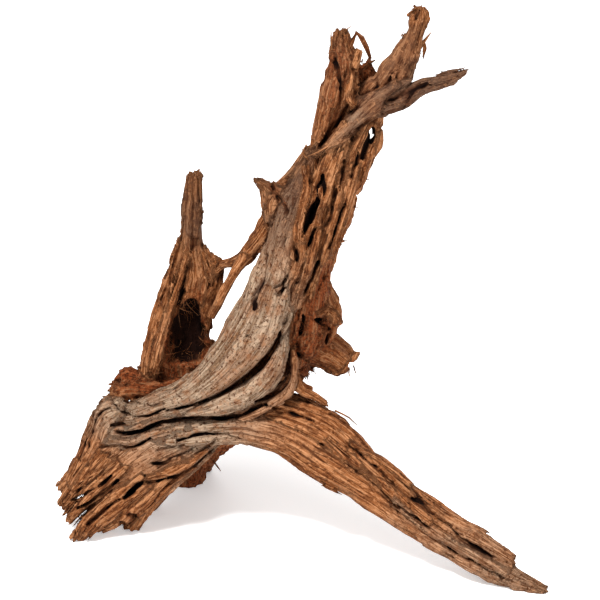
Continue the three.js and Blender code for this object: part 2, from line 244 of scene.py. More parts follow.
FAN = {
    "web": Strand(
        ((-57, 2, 77, 12, 14), (-81, -4, 67, 22, 14), (-105, -6, 54, 28, 13), (-125, -8, 38, 26, 11),
         (-139, -10, 25, 22, 8)),
        side=Side.TILTED, pale=(0.85, 0.6, 0.35, 0.15), relief=0.8, tear=6.0),
    "rim": Strand(
        ((-126, 12, 88, 7, 10), (-136, 8, 73, 7, 10), (-143, 6, 55, 6, 10), (-152, 4, 38, 6, 9),
         (-163, 4, 24, 5, 7)),
        pale=(0.6, 0.4, 0.2, 0.1), rot=(0.0, 0.2), relief=1.0, tear=3.0),
    "inner_rim": Strand(
        ((-119, 4, 90, 6, 10), (-130, 2, 82, 7, 10), (-136, 0, 69, 7, 10), (-144, -3, 53, 7, 9),
         (-154, -6, 36, 5, 8)),
        pale=(0.9, 0.6, 0.3, 0.1), relief=0.9, tear=3.0),
    "first_finger": Strand(
        ((-129, -8, 61, 7, 9), (-142, -8, 44, 7, 8), (-161, -11, 21, 4.4, 5)), pale=(0.2, 0.1), tear=4.0),
    "second_finger": Strand(
        ((-118, -12, 56, 6, 9), (-136, -14, 37, 6.4, 8), (-156, -14, 13, 3.4, 5)), pale=(0.2, 0.1), tear=4.0),
    "third_finger": Strand(
        ((-103, -14, 46, 8, 10), (-124, -17, 29, 8, 8), (-141, -19, 13, 7, 7), (-151, -19, 0, 5, 6)),
        pale=(0.25, 0.1), tear=3.0),
    "fourth_finger": Strand(
        ((-78, -8, 60, 11, 12), (-100, -10, 39, 10, 13), (-120, -10, 18, 10, 12), (-137, -8, 2, 6, 7)),
        pale=(0.25, 0.1), rot=(0.1, 0.3)),
    "fifth_finger": Strand(
        ((-65, 0, 64, 9, 12), (-90, -2, 44, 8, 12), (-104, -4, 21, 7, 10), (-116, -7, 0, 6, 8)),
        pale=(0.2, 0.1), rot=(0.1, 0.3)),
    "back_strand": Strand(
        ((-66, 30, 65, 18, 14), (-96, 24, 64, 18, 13), (-120, 16, 65, 15, 12), (-136, 10, 56, 10, 10)),
        pale=(0.3,), rot=(0.2,)),
    "crumbled_ledge": Strand(
        ((-126, 16, 95, 6, 9), (-115, 20, 95, 9, 11), (-99, 25, 92, 10, 13), (-82, 28, 94, 10, 13),
         (-65, 31, 98, 7, 10)),
        rot=(0.6, 0.8, 1.0, 1.0)),
    "ledge_crumb": Strand(
        ((-123, 16, 101, 4, 6), (-117, 20, 103, 5, 7), (-108, 24, 100, 4, 6)), rot=(0.9,), tear=2.0),
}

REAR_ROOT = {
    "belly": Strand(
        ((-34, 30, 74, 14, 15), (-56, 44, 50, 15, 17), (-74, 54, 26, 14, 14), (-84, 60, -6, 12, 12)),
        side=Side.UPPER, rot=(0.8, 1.0, 0.8)),
    "heel": Strand(
        ((-7, 46, 97, 12, 15), (-30, 58, 70, 13, 14), (-56, 66, 40, 12, 12), (-80, 72, -4, 10, 11)),
        side=Side.UPPER, pale=(0.2,), rot=(0.3, 0.6)),
    "under_web": Strand(
        ((-48, 26, 70, 15, 12), (-72, 30, 50, 17, 12), (-94, 28, 30, 16, 11), (-112, 22, 4, 12, 9)),
        side=Side.UPPER, rot=(0.7, 0.6, 0.4)),
}

# Thin ridges that stand a little out of the strands beneath them.
RIDGES = {
    "diagonal_band": Strand(
        ((60, 5.5, 313.5, 2.5, 6), (51.5, 5, 306.5, 4.3, 7), (42.5, 1, 300, 5.5, 7),
         (33.5, 2, 291.5, 4.9, 7), (26, -2, 285, 3.5, 6), (17.5, -3, 276, 2.0, 4), (7, -1.5, 269, 0.9, 2)),
        pale=(0.0, 0.3, 0.45, 0.3, 0.1), grey=(0.7, 0.7, 0.5), relief=1.4, tear=1.0),
    "plate_rim": Strand(
        ((36.5, 15, 331.5, 1.2, 3), (34, 11, 325, 1.5, 4), (32, 10, 316, 1.5, 4), (30, 8, 306.5, 1.5, 4),
         (32, 0, 302, 1, 3)),
        relief=0.5, tear=1.0),
    "spike_rib": Strand(
        ((-74, 28.5, 188.5, 1.6, 4), (-78.5, 28, 173, 2.4, 6), (-85, 27, 155, 3.1, 7),
         (-90.5, 24, 138.5, 3.6, 8), (-95, 23, 122.5, 3.8, 9), (-98.5, 25, 109, 2.4, 8)),
        pale=(0.1, 0.25, 0.3, 0.2), relief=0.7, tear=3.0),
    "left_rib": Strand(
        ((3.5, 0, 261, 1.2, 4), (5.5, -6.5, 252, 1.9, 5), (3, -8.5, 239.5, 1.9, 6), (0.5, -9.5, 228.5, 2, 6),
         (0, -13, 217.5, 1.6, 5)),
        pale=(0.1, 0.25, 0.3), relief=0.7, tear=1.0),
    "slot_rib": Strand(
        ((12.5, -11, 240.5, 1, 4), (10.5, -6, 227, 1.6, 6), (9, -10.5, 216.5, 1.8, 6),
         (5.5, -10.5, 201.5, 1.6, 6), (2, -9, 185.5, 1.5, 5), (-1.5, -1.5, 168, 1.2, 4)),
        pale=(0.1, 0.2, 0.4, 0.5), relief=0.7, tear=1.0),
    "brown_rib_first": Strand(
        ((25, -6, 260.5, 1.2, 4), (23.5, -4.5, 244.5, 1.9, 6), (20, -6.5, 229.5, 2, 6), (16, -7, 212, 2, 6),
         (11, -3, 192.5, 1.7, 5), (6, 0.5, 174, 1.3, 4)),
        relief=0.8, tear=1.0),
    "brown_rib_second": Strand(
        ((34.5, -5, 264, 1.2, 4), (31.5, -5.5, 251.5, 1.9, 6), (28, -5, 237, 2.1, 6),
         (24, -5, 222.5, 1.9, 6), (19.5, -1.5, 204.5, 1.7, 5)),
        relief=0.8, tear=1.0),
    "boss_brow": Strand(
        ((11.5, 3, 160, 1.3, 4), (17, 9, 160, 2, 6), (22.5, 15, 154.5, 2.2, 7), (24, 16, 148, 1.8, 6)),
        rot=(0.3,), relief=0.6, tear=1.0),
    "limb_rim": Strand(
        ((25, 17, 108.5, 1.2, 3), (30, 16, 112, 1.5, 4), (35, 17, 116, 1.5, 4), (38, 22, 119, 1.2, 3)),
        rot=(0.3,), relief=0.4, tear=0.5),
    "pocket_ridge": Strand(
        ((-75, 28, 138, 1.3, 4), (-77, 27, 127.5, 2.0, 6), (-78, 25, 117, 2.7, 7)),
        rot=(0.6, 0.9), tear=1.0),
    "fan_rib_first": Strand(
        ((-124.5, -3.5, 77, 1.3, 4), (-109, -6.5, 80.5, 2.1, 6), (-94, -8, 88, 2.3, 6),
         (-76.5, -9, 92, 2, 5), (-57, -5, 91, 1.6, 4)),
        pale=(0.8, 0.9, 0.95), relief=0.6, tear=1.0),
    "fan_rib_second": Strand(
        ((-128.5, -6, 69.5, 1.3, 4), (-112, -9, 71.5, 2.3, 6), (-94.5, -8.5, 78.5, 2.7, 7),
         (-73, -9.5, 81.5, 2.7, 6), (-52, -14, 80, 2, 5)),
        pale=(0.75, 0.9, 0.85), relief=0.6, tear=1.0),
    "fan_rib_third": Strand(
        ((-100, -18.5, 49, 1.3, 4), (-85, -19, 54, 2, 5), (-73, -16, 60, 2, 5), (-62.5, -13.5, 67, 1.6, 4)),
        pale=(0.2,), relief=0.8, tear=1.0),
    "branch_rib_first": Strand(
        ((19.5, -21.5, 80, 1.3, 4), (34, -26, 69.5, 2.2, 6), (51, -32.5, 57.5, 2.4, 6), (68, -45, 47, 2, 5),
         (84.5, -56, 38.5, 1.3, 4)),
        pale=(0.2,), relief=0.8, tear=1.0),
    "branch_rib_second": Strand(
        ((62.5, -46.5, 47.5, 1.3, 4), (79.5, -52.5, 36.5, 2.2, 6), (97.5, -61.5, 27, 2.2, 6),
         (116, -71, 19.5, 1.7, 5), (131.5, -78.5, 12.5, 1.2, 3)),
        pale=(0.6,), relief=0.8, tear=1.0),
    "top_splinter": Strand(
        ((34, -27, 76.5, 0.9, 2.5), (46, -26, 69.5, 1.3, 3), (59.5, -30, 62, 1.3, 3),
         (72.5, -38, 54, 0.8, 2)),
        relief=0.4, tear=0.5),
}

STRANDS = [*TRUNK.values(), *CROWN.values(), *SPIKE.values(), *STUB.values(), *BRANCH.values(), *FAN.values(),
           *REAR_ROOT.values(), *RIDGES.values()]

# Old cracks and hollows, cut into the wood. Here rot is how crumbly the cut is inside.
HOLLOWS = {
    "main_crack": crack(12, 0.3, (-12.5, -10, 153, 0.5), (-15.5, -6.5, 141.5, 1.3), (-21, -8.5, 133, 2.1),
        (-27.5, -7, 123.5, 3), (-35, -7.5, 117, 2.8), (-43.5, -9, 112, 1.7), (-54, -11, 106, 1.1),
        (-65, -12.5, 102, 1), (-76.5, -13.5, 98.5, 0.9), (-88.5, -12.5, 95.5, 0.6)),
    "lip_crack": crack(10, 0.3, (-6, -4.5, 125.5, 0.5), (-6.5, -7, 119.5, 1.2), (-9, -9, 113.5, 1.5),
        (-15, -9.5, 107.5, 1.4), (-22.5, -12, 104.5, 1.1), (-29, -16.5, 104.5, 0.6)),
    "long_crack": crack(9, 0.3, (-123, -8.5, 76.5, 0.9), (-113, -11, 77.5, 1.1), (-103.5, -12.5, 81, 1.3),
        (-94, -13.5, 86.5, 1), (-83.5, -14, 89, 0.9), (-70, -14, 90.5, 0.9), (-53, -9, 87.5, 0.9),
        (-39.5, -15, 93, 1.3), (-31.5, -15, 97, 1.4), (-24.5, -14, 101, 0.7)),
    "short_crack": crack(4, 0.3, (-133.5, -10.5, 66.5, 0.49), (-121.5, -12.5, 68.5, 0.63),
        (-109.5, -13.5, 69, 0.7), (-99, -13, 75, 0.49)),
    "thin_crack": crack(3, 0.3, (-81, -17, 75.5, 0.5), (-65, -18, 80, 0.6), (-49, -20.5, 82, 0.6),
        (-37, -20, 77, 0.4)),
    "low_crack": crack(5, 0.3, (-111, -20.5, 44, 0.56), (-97.5, -21, 46.5, 0.63), (-84, -20.5, 50, 0.63),
        (-73.5, -18, 54.5, 0.63), (-65, -13, 60, 0.63), (-54.5, -12, 69.5, 0.49)),
    "fan_slot": crack(6, 0.3, (-104, -22, 47, 0.5), (-109, -22.5, 43.5, 1.3), (-114, -18.5, 36.5, 1.6),
        (-119, -19.5, 32, 1)),
    "fold_first": crack(2, 0.3, (-131, 6, 93, 0.4), (-136.5, 5, 88.5, 0.5), (-139, 2, 81.5, 0.5),
        (-141.5, -2.5, 72, 0.5), (-145, -2, 59.5, 0.5), (-148.5, -7.5, 51.5, 0.4)),
    "fold_second": crack(3, 0.3, (-125, 1, 90.5, 0.4), (-132.5, 0.5, 87, 0.6), (-137, -1, 79.5, 0.6),
        (-140, -3, 69, 0.5), (-142, -5, 61, 0.4)),
    "fold_third": crack(3, 0.3, (-123.5, -1, 85.5, 0.4), (-130.5, -1.5, 83, 0.6), (-134, -1.5, 75, 0.6),
        (-137, -4.5, 67.5, 0.4)),
    "fold_fourth": crack(2, 0.3, (-118.5, -6.5, 82, 0.4), (-127.5, -2, 78.5, 0.5), (-132.5, 1, 71.5, 0.5),
        (-134.5, -7, 69, 0.4)),
    "top_fold": crack(3.5, 0.3, (-125.5, 7, 91, 0.5), (-119, -1, 89.5, 0.7), (-110, -8.5, 89, 0.7),
        (-99.5, -11, 91, 0.5), (-88.5, -12.5, 96.5, 0.4)),
    "upper_fold": crack(3, 0.3, (-122, 6, 92, 0.4), (-112.5, 3, 92.5, 0.5), (-100.5, -7.5, 96, 0.5),
        (-89.5, -11, 100, 0.4)),
    "streak_first": crack(2.5, 0.3, (-94.5, -16, 67.5, 0.4), (-85.5, -18.5, 71, 0.6),
        (-77, -18.5, 72.5, 0.4)),
    "streak_second": crack(3, 0.3, (-89, -20, 62.5, 0.4), (-80, -20.5, 66, 0.7), (-70.5, -17.5, 70.5, 0.4)),
    "streak_third": crack(3, 0.3, (-100, -18, 58, 0.4), (-90.5, -20.5, 60, 0.7), (-81.5, -21.5, 63, 0.4)),
    "streak_fourth": crack(2.5, 0.3, (-69, -17, 65.5, 0.4), (-61.5, -17, 71, 0.6), (-55.5, -21.5, 78.5, 0.4)),
    "finger_first": crack(4, 0.3, (-151, -16.5, 34.5, 0.5), (-142, -18.5, 42.5, 0.7), (-135, -18, 48.5, 0.7),
        (-130.5, -17.5, 53.5, 0.4)),
    "finger_second": crack(3.5, 0.3, (-154, -13, 26, 0.5), (-141, -18.5, 37, 0.8), (-131.5, -18.5, 43.5, 0.7),
        (-125, -19, 50, 0.4)),
    "finger_third": crack(3.5, 0.3, (-151.5, -17, 22, 0.56), (-140, -19.5, 30.5, 0.91), (-130, -20, 39, 0.77),
        (-121.5, -19.5, 46.5, 0.45)),
    "finger_fourth": crack(3, 0.3, (-147, -20.5, 18.5, 0.6), (-139.5, -21, 27, 1),
        (-131.5, -21.5, 34, 0.7), (-125.5, -20.5, 39, 0.4)),
    "finger_fifth": crack(3.5, 0.3, (-143, -24.5, 14, 0.45), (-135, -25.5, 22.5, 0.7),
        (-126.5, -24.5, 30, 0.49), (-121.5, -22, 33, 0.45)),
    "knob_hole": crack(6, 0.8, (-116, -22.5, 22, 1.3), (-112, -22, 19, 2), (-112, -15, 11, 1.4)),
    "knob_notch": crack(9, 0.6, (-122, -16, 5, 1.1), (-121, -22, 14, 1.6)),
    "lens_slot": crack(12, 0.3, (11, -12.5, 244.5, 0.5), (8, -13.5, 239, 1.7), (5.5, -14.5, 232.5, 2.5),
        (3.5, -16, 226.5, 2), (2.5, -15.5, 221, 0.6)),
    "lens_tail": crack(5, 0.3, (10, -10, 224.5, 0.5), (7.5, -12.5, 220.5, 1.2), (5, -12, 213, 0.6)),
    "upper_slot": crack(3, 0.3, (13.5, -10, 259, 0.4), (15.5, -12, 253, 0.8), (16, -12.5, 248, 0.4)),
    "left_slot": crack(3, 0.3, (7.5, -1, 268.5, 0.4), (7, -5.5, 261.5, 0.8), (6, -9.5, 253.5, 0.4)),
    "middle_slot": crack(4, 0.3, (-4, -12, 216, 0.6), (-2, -13, 209, 1.3), (-1.5, -13.5, 201, 0.6)),
    "thorn_hole": crack(4, 0.7, (-18, 12.5, 246, 0.8), (-16, 7.5, 243.5, 1.76), (-12.5, 4, 238.5, 1.6),
        (-9.5, -5, 236.5, 0.64)),
    "grey_hollow": crack(2.5, 0.0, (-22.5, 1, 201.5, 2.4), (-24.5, -5.5, 193.5, 4.4), (-27, -7.5, 183.5, 4.2),
        (-29, -9, 174.5, 2.4), (-30, -11, 167.5, 1.2)),
    "first_pit": crack(2, 0.3, (-22, -12, 173.5, 0.7), (-22, -12, 168, 1)),
    "second_pit": crack(3, 0.3, (-9, -9.5, 162.5, 1), (-10.5, -9.5, 156.5, 1.3)),
    "wrinkle_first": crack(3, 0.3, (-17, -12.5, 184, 0.7), (-12.5, -13.5, 187.5, 0.7),
        (-8.5, -13.5, 193, 0.7)),
    "wrinkle_second": crack(3, 0.3, (-16, -13, 179.5, 0.7), (-10, -12, 183.5, 0.7),
        (-5.5, -13.5, 190.5, 0.7)),
    "round_hollow": crack(1.5, 0.0, (-5, -13, 203, 1.3), (-6.5, -14, 196, 2.5), (-9.5, -12, 187.5, 1.6)),
    "brown_crack_first": crack(4, 0.3, (23, -7.5, 250.5, 0.45), (21.5, -8, 242.5, 0.63),
        (19, -9, 233.5, 0.63), (16.5, -10, 225.5, 0.45)),
    "brown_crack_second": crack(3.5, 0.3, (29.5, -9.5, 245, 0.45), (26.5, -9.5, 235, 0.63),
        (22.5, -10, 223, 0.63), (19, -8, 211, 0.45)),
    "brown_crack_third": crack(4, 0.3, (28, -4.5, 268, 0.45), (26.5, -7.5, 258.5, 0.7),
        (24.5, -7.5, 250, 0.45)),
    "brown_crack_fourth": crack(4, 0.3, (35.5, -3, 274.5, 0.45), (34.5, -6.5, 265.5, 0.77),
        (31.5, -9, 256.5, 0.49)),
    "brown_crack_fifth": crack(3.5, 0.3, (20, -1, 198, 0.45), (14, -1, 184.5, 0.7), (9.5, -1.5, 172, 0.45)),
    "brown_crack_sixth": crack(3.5, 0.3, (11.5, -6.5, 200.5, 0.45), (7, -5.5, 188, 0.7),
        (2.5, -5.5, 177.5, 0.45)),
    "rot_slit_left": crack(9, 1, (4, 0.5, 165.5, 0.8), (2, 2.5, 153.5, 1.7), (-0.5, 4.5, 141, 1.1)),
    "rot_slit_right": crack(8, 1, (10.5, 1, 156, 1), (15, 7, 149.5, 1.7), (19, 11, 141.5, 1.6),
        (17.5, 11.5, 132.5, 0.9)),
    "rot_slit_low": crack(9, 1, (-2.5, 6.5, 136.5, 1.1), (0, 2, 129.5, 1.8), (6, 13, 119, 1.2)),
    "limb_end": crack(4, 0.8, (33.5, 14, 117, 2.4), (35.5, 14, 113, 4), (35, 14, 108.5, 2.4)),
    "side_hollow": crack(2, 0.1, (52, 2, 303.5, 2), (64, 0, 309.5, 4), (78, -3, 317, 1.6)),
    "loop_hole": Strand(
        ((43.5, 8, 274.5, 0.9, 18), (44.5, 8, 280, 2.1, 18), (44.5, 8, 285.5, 0.9, 18)),
        side=Side.SLANTED, rot=(0.3,)),
    "edge_hole": crack(5.5, 0.3, (43, 2, 279.5, 0.81), (41, -0.5, 274, 1.44), (39, -3.5, 268.5, 0.81)),
    "plate_gap": crack(10, 0.3, (30, 1.5, 302, 0.7), (25.5, -1, 294.5, 1.6), (20.5, -3, 289, 1.8),
        (15.5, -3.5, 282, 1.6), (10.5, -2, 273, 0.7)),
    "crown_hole_left": crack(2, 0.3, (33, 10, 324, 0.9), (34, 10, 317.5, 1.89), (34.5, 9.5, 310.5, 1.26)),
    "crown_hole_right": crack(4.5, 0.3, (46.5, 21, 321.5, 0.63), (46, 10.5, 318, 1.53),
        (47.5, 6.5, 313, 0.81)),
    "band_crack_first": crack(1, 0.3, (51.5, 1, 306.5, 0.45), (40.5, -1.5, 300, 0.63), (31, -2.5, 292, 0.63),
        (23.5, -5.5, 284.5, 0.45)),
    "band_crack_second": crack(1, 0.3, (44.5, -2.5, 307.5, 0.49), (38, -2.5, 304.5, 0.77),
        (33, -1.5, 299, 0.49)),
    "knob_cup": crack(5, 0.3, (71, 15, 358.5, 1.5), (71, 12, 356, 1.7), (70.5, 11, 353, 1.2)),
    "knob_crack": crack(2, 0.3, (60.5, 9, 326, 0.45), (63, 10, 331.5, 0.77), (62, 14, 336, 0.45)),
    "plate_groove": crack(2, 0.3, (22, 12.5, 329, 0.49), (23.5, 10, 320, 0.84), (24.5, 8.5, 311.5, 0.63),
        (26.5, 7, 303.5, 0.45)),
    "pocket": Strand(
        ((-71, 20, 157, 4, 10), (-74, 20, 147, 10, 12), (-75, 20, 135, 13.5, 13), (-76, 19, 122, 14, 12),
         (-77, 18, 113, 12, 10)), rot=(1.0,)),
    "spike_hole": crack(3.5, 0.5, (-70, 29, 200.5, 0.9), (-69.5, 29, 196.5, 1.9), (-71, 28.5, 192.5, 0.9)),
    "spike_groove": crack(3, 0.3, (-74.5, 28, 183, 0.45), (-77.5, 26.5, 168.5, 0.7), (-82, 25, 154, 0.49)),
    "outer_groove": crack(3.5, 0.3, (-80.5, 31, 192, 0.45), (-87, 23, 172.5, 0.63), (-93, 23, 158.5, 0.77),
        (-98, 21.5, 145, 0.49)),
    "branch_crack_first": crack(4, 0.3, (-25, -14, 100.5, 0.49), (-13, -9, 95, 0.7), (0, -12.5, 91, 0.7),
        (13, -16.5, 87.5, 0.49)),
    "branch_crack_second": crack(3, 0.4, (-10.5, -14, 104, 0.4), (-2.5, 0, 97, 0.7), (6.5, -2, 94.5, 0.5)),
    "branch_crack_third": crack(3.5, 0.3, (20, -20.5, 83.5, 0.45), (34, -27, 75, 0.7), (48.5, -32, 64.5, 0.7),
        (63, -42, 54.5, 0.49)),
    "branch_crack_fourth": crack(3.5, 0.3, (29.5, -32.5, 68, 0.45), (47, -41, 56, 0.7),
        (65, -51.5, 44.5, 0.7), (84.5, -60, 34.5, 0.45)),
    "branch_crack_fifth": crack(3.5, 0.3, (73, -46.5, 49, 0.45), (91, -57.5, 39, 0.7),
        (108.5, -67.5, 28.5, 0.63), (124, -76, 20.5, 0.45)),
    "branch_crack_sixth": crack(3, 0.3, (95, -65.5, 23, 0.45), (114, -74, 17.5, 0.63),
        (131.5, -80, 9.5, 0.45)),
}


@dataclass(frozen=True)
class Tuft:
    """A patch of loose fibres that grow out of the wood.

    Attributes:
        centre: the middle of the patch, in millimetres.
        radius: how far from the middle fibres take root, in millimetres.
        lean: the direction the fibres lean, added to the wood's normal.
        length: how long they are, in millimetres.
        count: how many there are.
        rot: how red they are.
        width: half their thickness at the root, in millimetres.
    """

    centre: tuple[float, float, float]
    radius: float
    lean: tuple[float, float, float]
    length: float
    count: int
    rot: float = 0.3
    width: float = 0.4


TUFTS = (
    Tuft((-88, 24, 125), 10, (0.0, -0.2, -0.6), 11, 26, 0.5, 0.35),
    Tuft((-67, 31, 120), 10, (0.0, -0.2, -0.6), 11, 26, 0.5, 0.35),
    Tuft((-76, 26, 150), 10, (0.0, -0.1, -0.9), 10, 46, 0.6, 0.35),
    Tuft((-60, 31, 128), 9, (-0.3, -0.2, -0.6), 8, 30, 0.6, 0.35),
    Tuft((-82, 24, 112), 11, (0.0, -0.4, 0.2), 7, 40, 0.7),
    Tuft((-104, 22, 101), 18, (0.0, -0.2, 0.3), 4, 60, 0.9, 0.5),
    Tuft((0, 26, 106), 10, (0.4, -0.3, -0.9), 9, 50, 1.0, 0.5),
    Tuft((32, 18, 108), 8, (0.3, 0.0, -1.0), 3, 26, 0.5, 0.5),
    Tuft((4, 4, 140), 12, (0.1, -0.2, -0.5), 5, 30, 0.9),
    Tuft((22, 16, 337), 9, (0.0, 0.0, 1.0), 7, 24, 0.2, 0.5),
    Tuft((41, 22, 315), 9, (0.1, -0.1, 0.7), 5, 30, 0.8),
    Tuft((73, 18, 332), 7, (0.7, 0.0, 0.5), 5, 16),
    Tuft((-155, -14, 22), 14, (-0.8, 0.0, -0.6), 5, 30),
    Tuft((-146, -20, 8), 9, (-0.6, 0.0, -0.6), 4, 14),
    Tuft((-116, -18, 16), 10, (0.0, -0.5, 0.2), 4, 24, 0.6),
    Tuft((-60, 30, 30), 12, (0.6, 0.0, -0.6), 4, 16, 0.6),
    Tuft((14, -5, 98), 7, (0.8, 0.0, -0.5), 6, 18),
    Tuft((155, -80, 3), 6, (0.7, -0.3, 0.1), 4, 10),
    Tuft((101, -5, 325), 5, (0.6, 0.0, 0.3), 3, 8),
    Tuft((85, -1, 310), 9, (0.3, 0.0, -0.9), 3, 14),
    Tuft((-69, 38, 242), 5, (0.0, 0.0, 0.8), 4, 10),
    Tuft((-16, 10, 240), 9, (-0.3, 0.0, 0.3), 4, 20, 0.6),
    Tuft((43, 8, 275), 9, (0.5, 0.0, 0.2), 4, 16),
    Tuft((35, 8, 245), 14, (0.5, -0.2, 0.3), 4, 18),
    Tuft((24, 8, 205), 12, (0.4, -0.2, 0.3), 4, 14),
)

# Single splinters: x, y, z and half thickness along each, in millimetres.
SPLINTERS = (
    ((28.5, 15, 329, 1.4), (32, 15, 338, 1.5), (34.5, 15, 343.5, 1.6), (38, 15, 340, 1.9), (41, 15, 334, 1.9),
     (43.5, 15, 327, 1.1)),
    ((19.5, 14, 333, 0.8), (19, 14, 338, 0.7), (19, 14, 342, 0.5), (19, 14, 346, 0.2)),
    ((23.5, 16, 335, 0.9), (23.5, 16, 338.5, 0.8), (23.5, 16, 342, 0.5), (24, 16, 345, 0.2)),
    ((27.5, 18, 332, 1.3), (27, 18, 339.5, 1.1), (28, 18, 344, 0.7), (31.5, 18, 347, 0.2)),
    ((39, 26, 314, 1.3), (42, 26, 319.5, 1.2), (44.5, 26, 321.5, 0.9), (47, 26, 323, 0.4)),
    ((69, 18, 328, 1.8), (73.5, 18, 333.5, 1.8), (76.5, 18, 337.5, 1.3), (80.5, 18, 343, 0.3)),
    ((76, 18, 336.5, 1.4), (77, 18, 333.5, 1.5), (76.5, 18, 330, 1.1), (76, 17, 326, 0.3)),
    ((-18, 13, 229, 0.5), (-23, 12, 227.5, 0.4), (-25, 12, 226.5, 0.3), (-27, 12, 224.5, 0.2)),
    ((7, 5, 263, 0.9), (3, 4, 267.5, 0.7), (2, 4, 270, 0.5), (1, 4, 273.5, 0.2)),
    ((9, -3, 102, 0.9), (13.5, -5, 100, 0.8), (15, -6, 98, 0.6), (18, -6, 96, 0.3)),
    ((5, -3, 99, 0.9), (10.5, -5, 96, 0.8), (14, -6, 94.5, 0.6), (17.5, -7, 93.5, 0.3)),
    ((23, -10, 94, 0.7), (31.5, -14, 91.5, 0.6), (35, -16, 89, 0.4), (38, -17, 86.5, 0.2)),
    ((19, -10, 92, 0.7), (28.5, -14, 90.5, 0.5), (31, -15, 88.5, 0.4), (33, -16, 86.5, 0.2)),
    ((27.5, 18, 112, 0.8), (27.5, 18, 107.5, 0.7), (27, 18, 106.5, 0.5), (26.5, 18, 105.5, 0.2)),
    ((33, 18, 111.5, 0.8), (33, 18, 106.5, 0.6), (33.5, 18, 105.5, 0.4), (33.5, 18, 104.5, 0.2)),
    ((36, 18, 113, 0.7), (37, 18, 109, 0.6), (37.5, 18, 107.5, 0.4), (38, 18, 106.5, 0.2)),
    ((-61, 31, 32, 0.7), (-58, 30, 27.5, 0.6), (-57, 30, 26, 0.5), (-55.5, 30, 23.5, 0.2)),
    ((-94, -10, 40, 0.7), (-91, -12, 34.5, 0.6), (-90.5, -12, 32.5, 0.5), (-89.5, -12, 29, 0.2)),
    ((-145, -19, 11, 1.0), (-148.5, -20, 5.5, 0.8), (-149.5, -21, 3, 0.6), (-150, -22, 1, 0.3)),
    ((29, -4, 286, 0.7), (17.5, -7, 278, 0.7), (9.5, -6, 273, 0.5), (2, -3, 269, 0.2)),
)


# ------------------------------------------------------------------ numbers and curves


def smoothstep(low: float, high: float, x: Array) -> Array:
    """Rise smoothly from 0 at low to 1 at high, as 3t^2 - 2t^3 of the share t of the way.

    Args:
        low: where the rise starts.
        high: where the rise ends.
        x: values to map.

    Returns:
        Values from 0 to 1.
    """
    t = np.clip((x - low) / (high - low), 0.0, 1.0)
    return t * t * (3.0 - 2.0 * t)


def smooth_curve(points: Array, count: int) -> Array:
    """Sample a smooth curve through points.

    Each piece is a cubic in the share f of the way from one point to the next. It passes through both,
    and its slope at each is half the chord between that point's neighbours.

    Args:
        points: control points, one row each, any number of columns.
        count: how many samples to take, evenly in the control points' numbering.

    Returns:
        The samples, one row each.
    """
    last = len(points) - 1
    t = np.linspace(0.0, last, count)
    i = np.minimum(t.astype(int), last - 1)
    f = (t - i)[:, None]
    here, after = points[i], points[i + 1]
    before = np.where((i > 0)[:, None], points[np.maximum(i - 1, 0)], 2 * here - after)
    beyond = np.where((i + 2 <= last)[:, None], points[np.minimum(i + 2, last)], 2 * after - here)
    slope, end_slope = (after - before) / 2, (beyond - here) / 2
    cubic = 2 * here - 2 * after + slope + end_slope
    square = 3 * after - 3 * here - 2 * slope - end_slope
    return ((cubic * f + square) * f + slope) * f + here


class Lattice:
    """Smooth noise from seeded random values on a lattice that repeats."""

    SIZE = 32

    def __init__(self, seed: int) -> None:
        """Fill the lattice.

        Args:
            seed: seed of the random values.
        """
        self.values = np.random.default_rng(seed).uniform(-1, 1, self.SIZE**3).astype(np.float32)

    def at(self, points: Array, shift: float = 0.0) -> Array:
        """Blend the eight lattice values round each point.

        The weights rise as 3t^2 - 2t^3 along each axis.

        Args:
            points: rows of x, y, z in lattice steps.
            shift: moves the points along all axes, for a second pattern from the same lattice.

        Returns:
            Values from -1 to 1.
        """
        p = points.astype(np.float32) + np.float32(shift)
        cell = np.floor(p)
        t = p - cell
        t = t * t * (3 - 2 * t)
        near = cell.astype(np.int32) & (self.SIZE - 1)
        far = (near + 1) & (self.SIZE - 1)
        total = np.zeros(len(p), np.float32)
        for corner in range(8):
            weight = np.ones(len(p), np.float32)
            index = np.zeros(len(p), np.int32)
            for axis in range(3):
                take_far = corner >> axis & 1
                weight *= t[:, axis] if take_far else 1 - t[:, axis]
                index = index * self.SIZE + (far if take_far else near)[:, axis]
            total += weight * self.values[index]
        return total


# ------------------------------------------------------------------ the wood as a field


@dataclass
class Place:
    """Where points lie against one strand, as whole arrays.

    Attributes:
        gap: distance outside the strand's surface, in millimetres, negative inside.
        grain: rows of (across, deep, along) in millimetres, following the fibres.
        share: how far along the strand each point is, from 0 to 1.
    """

    gap: Array
    grain: Array
    share: Array


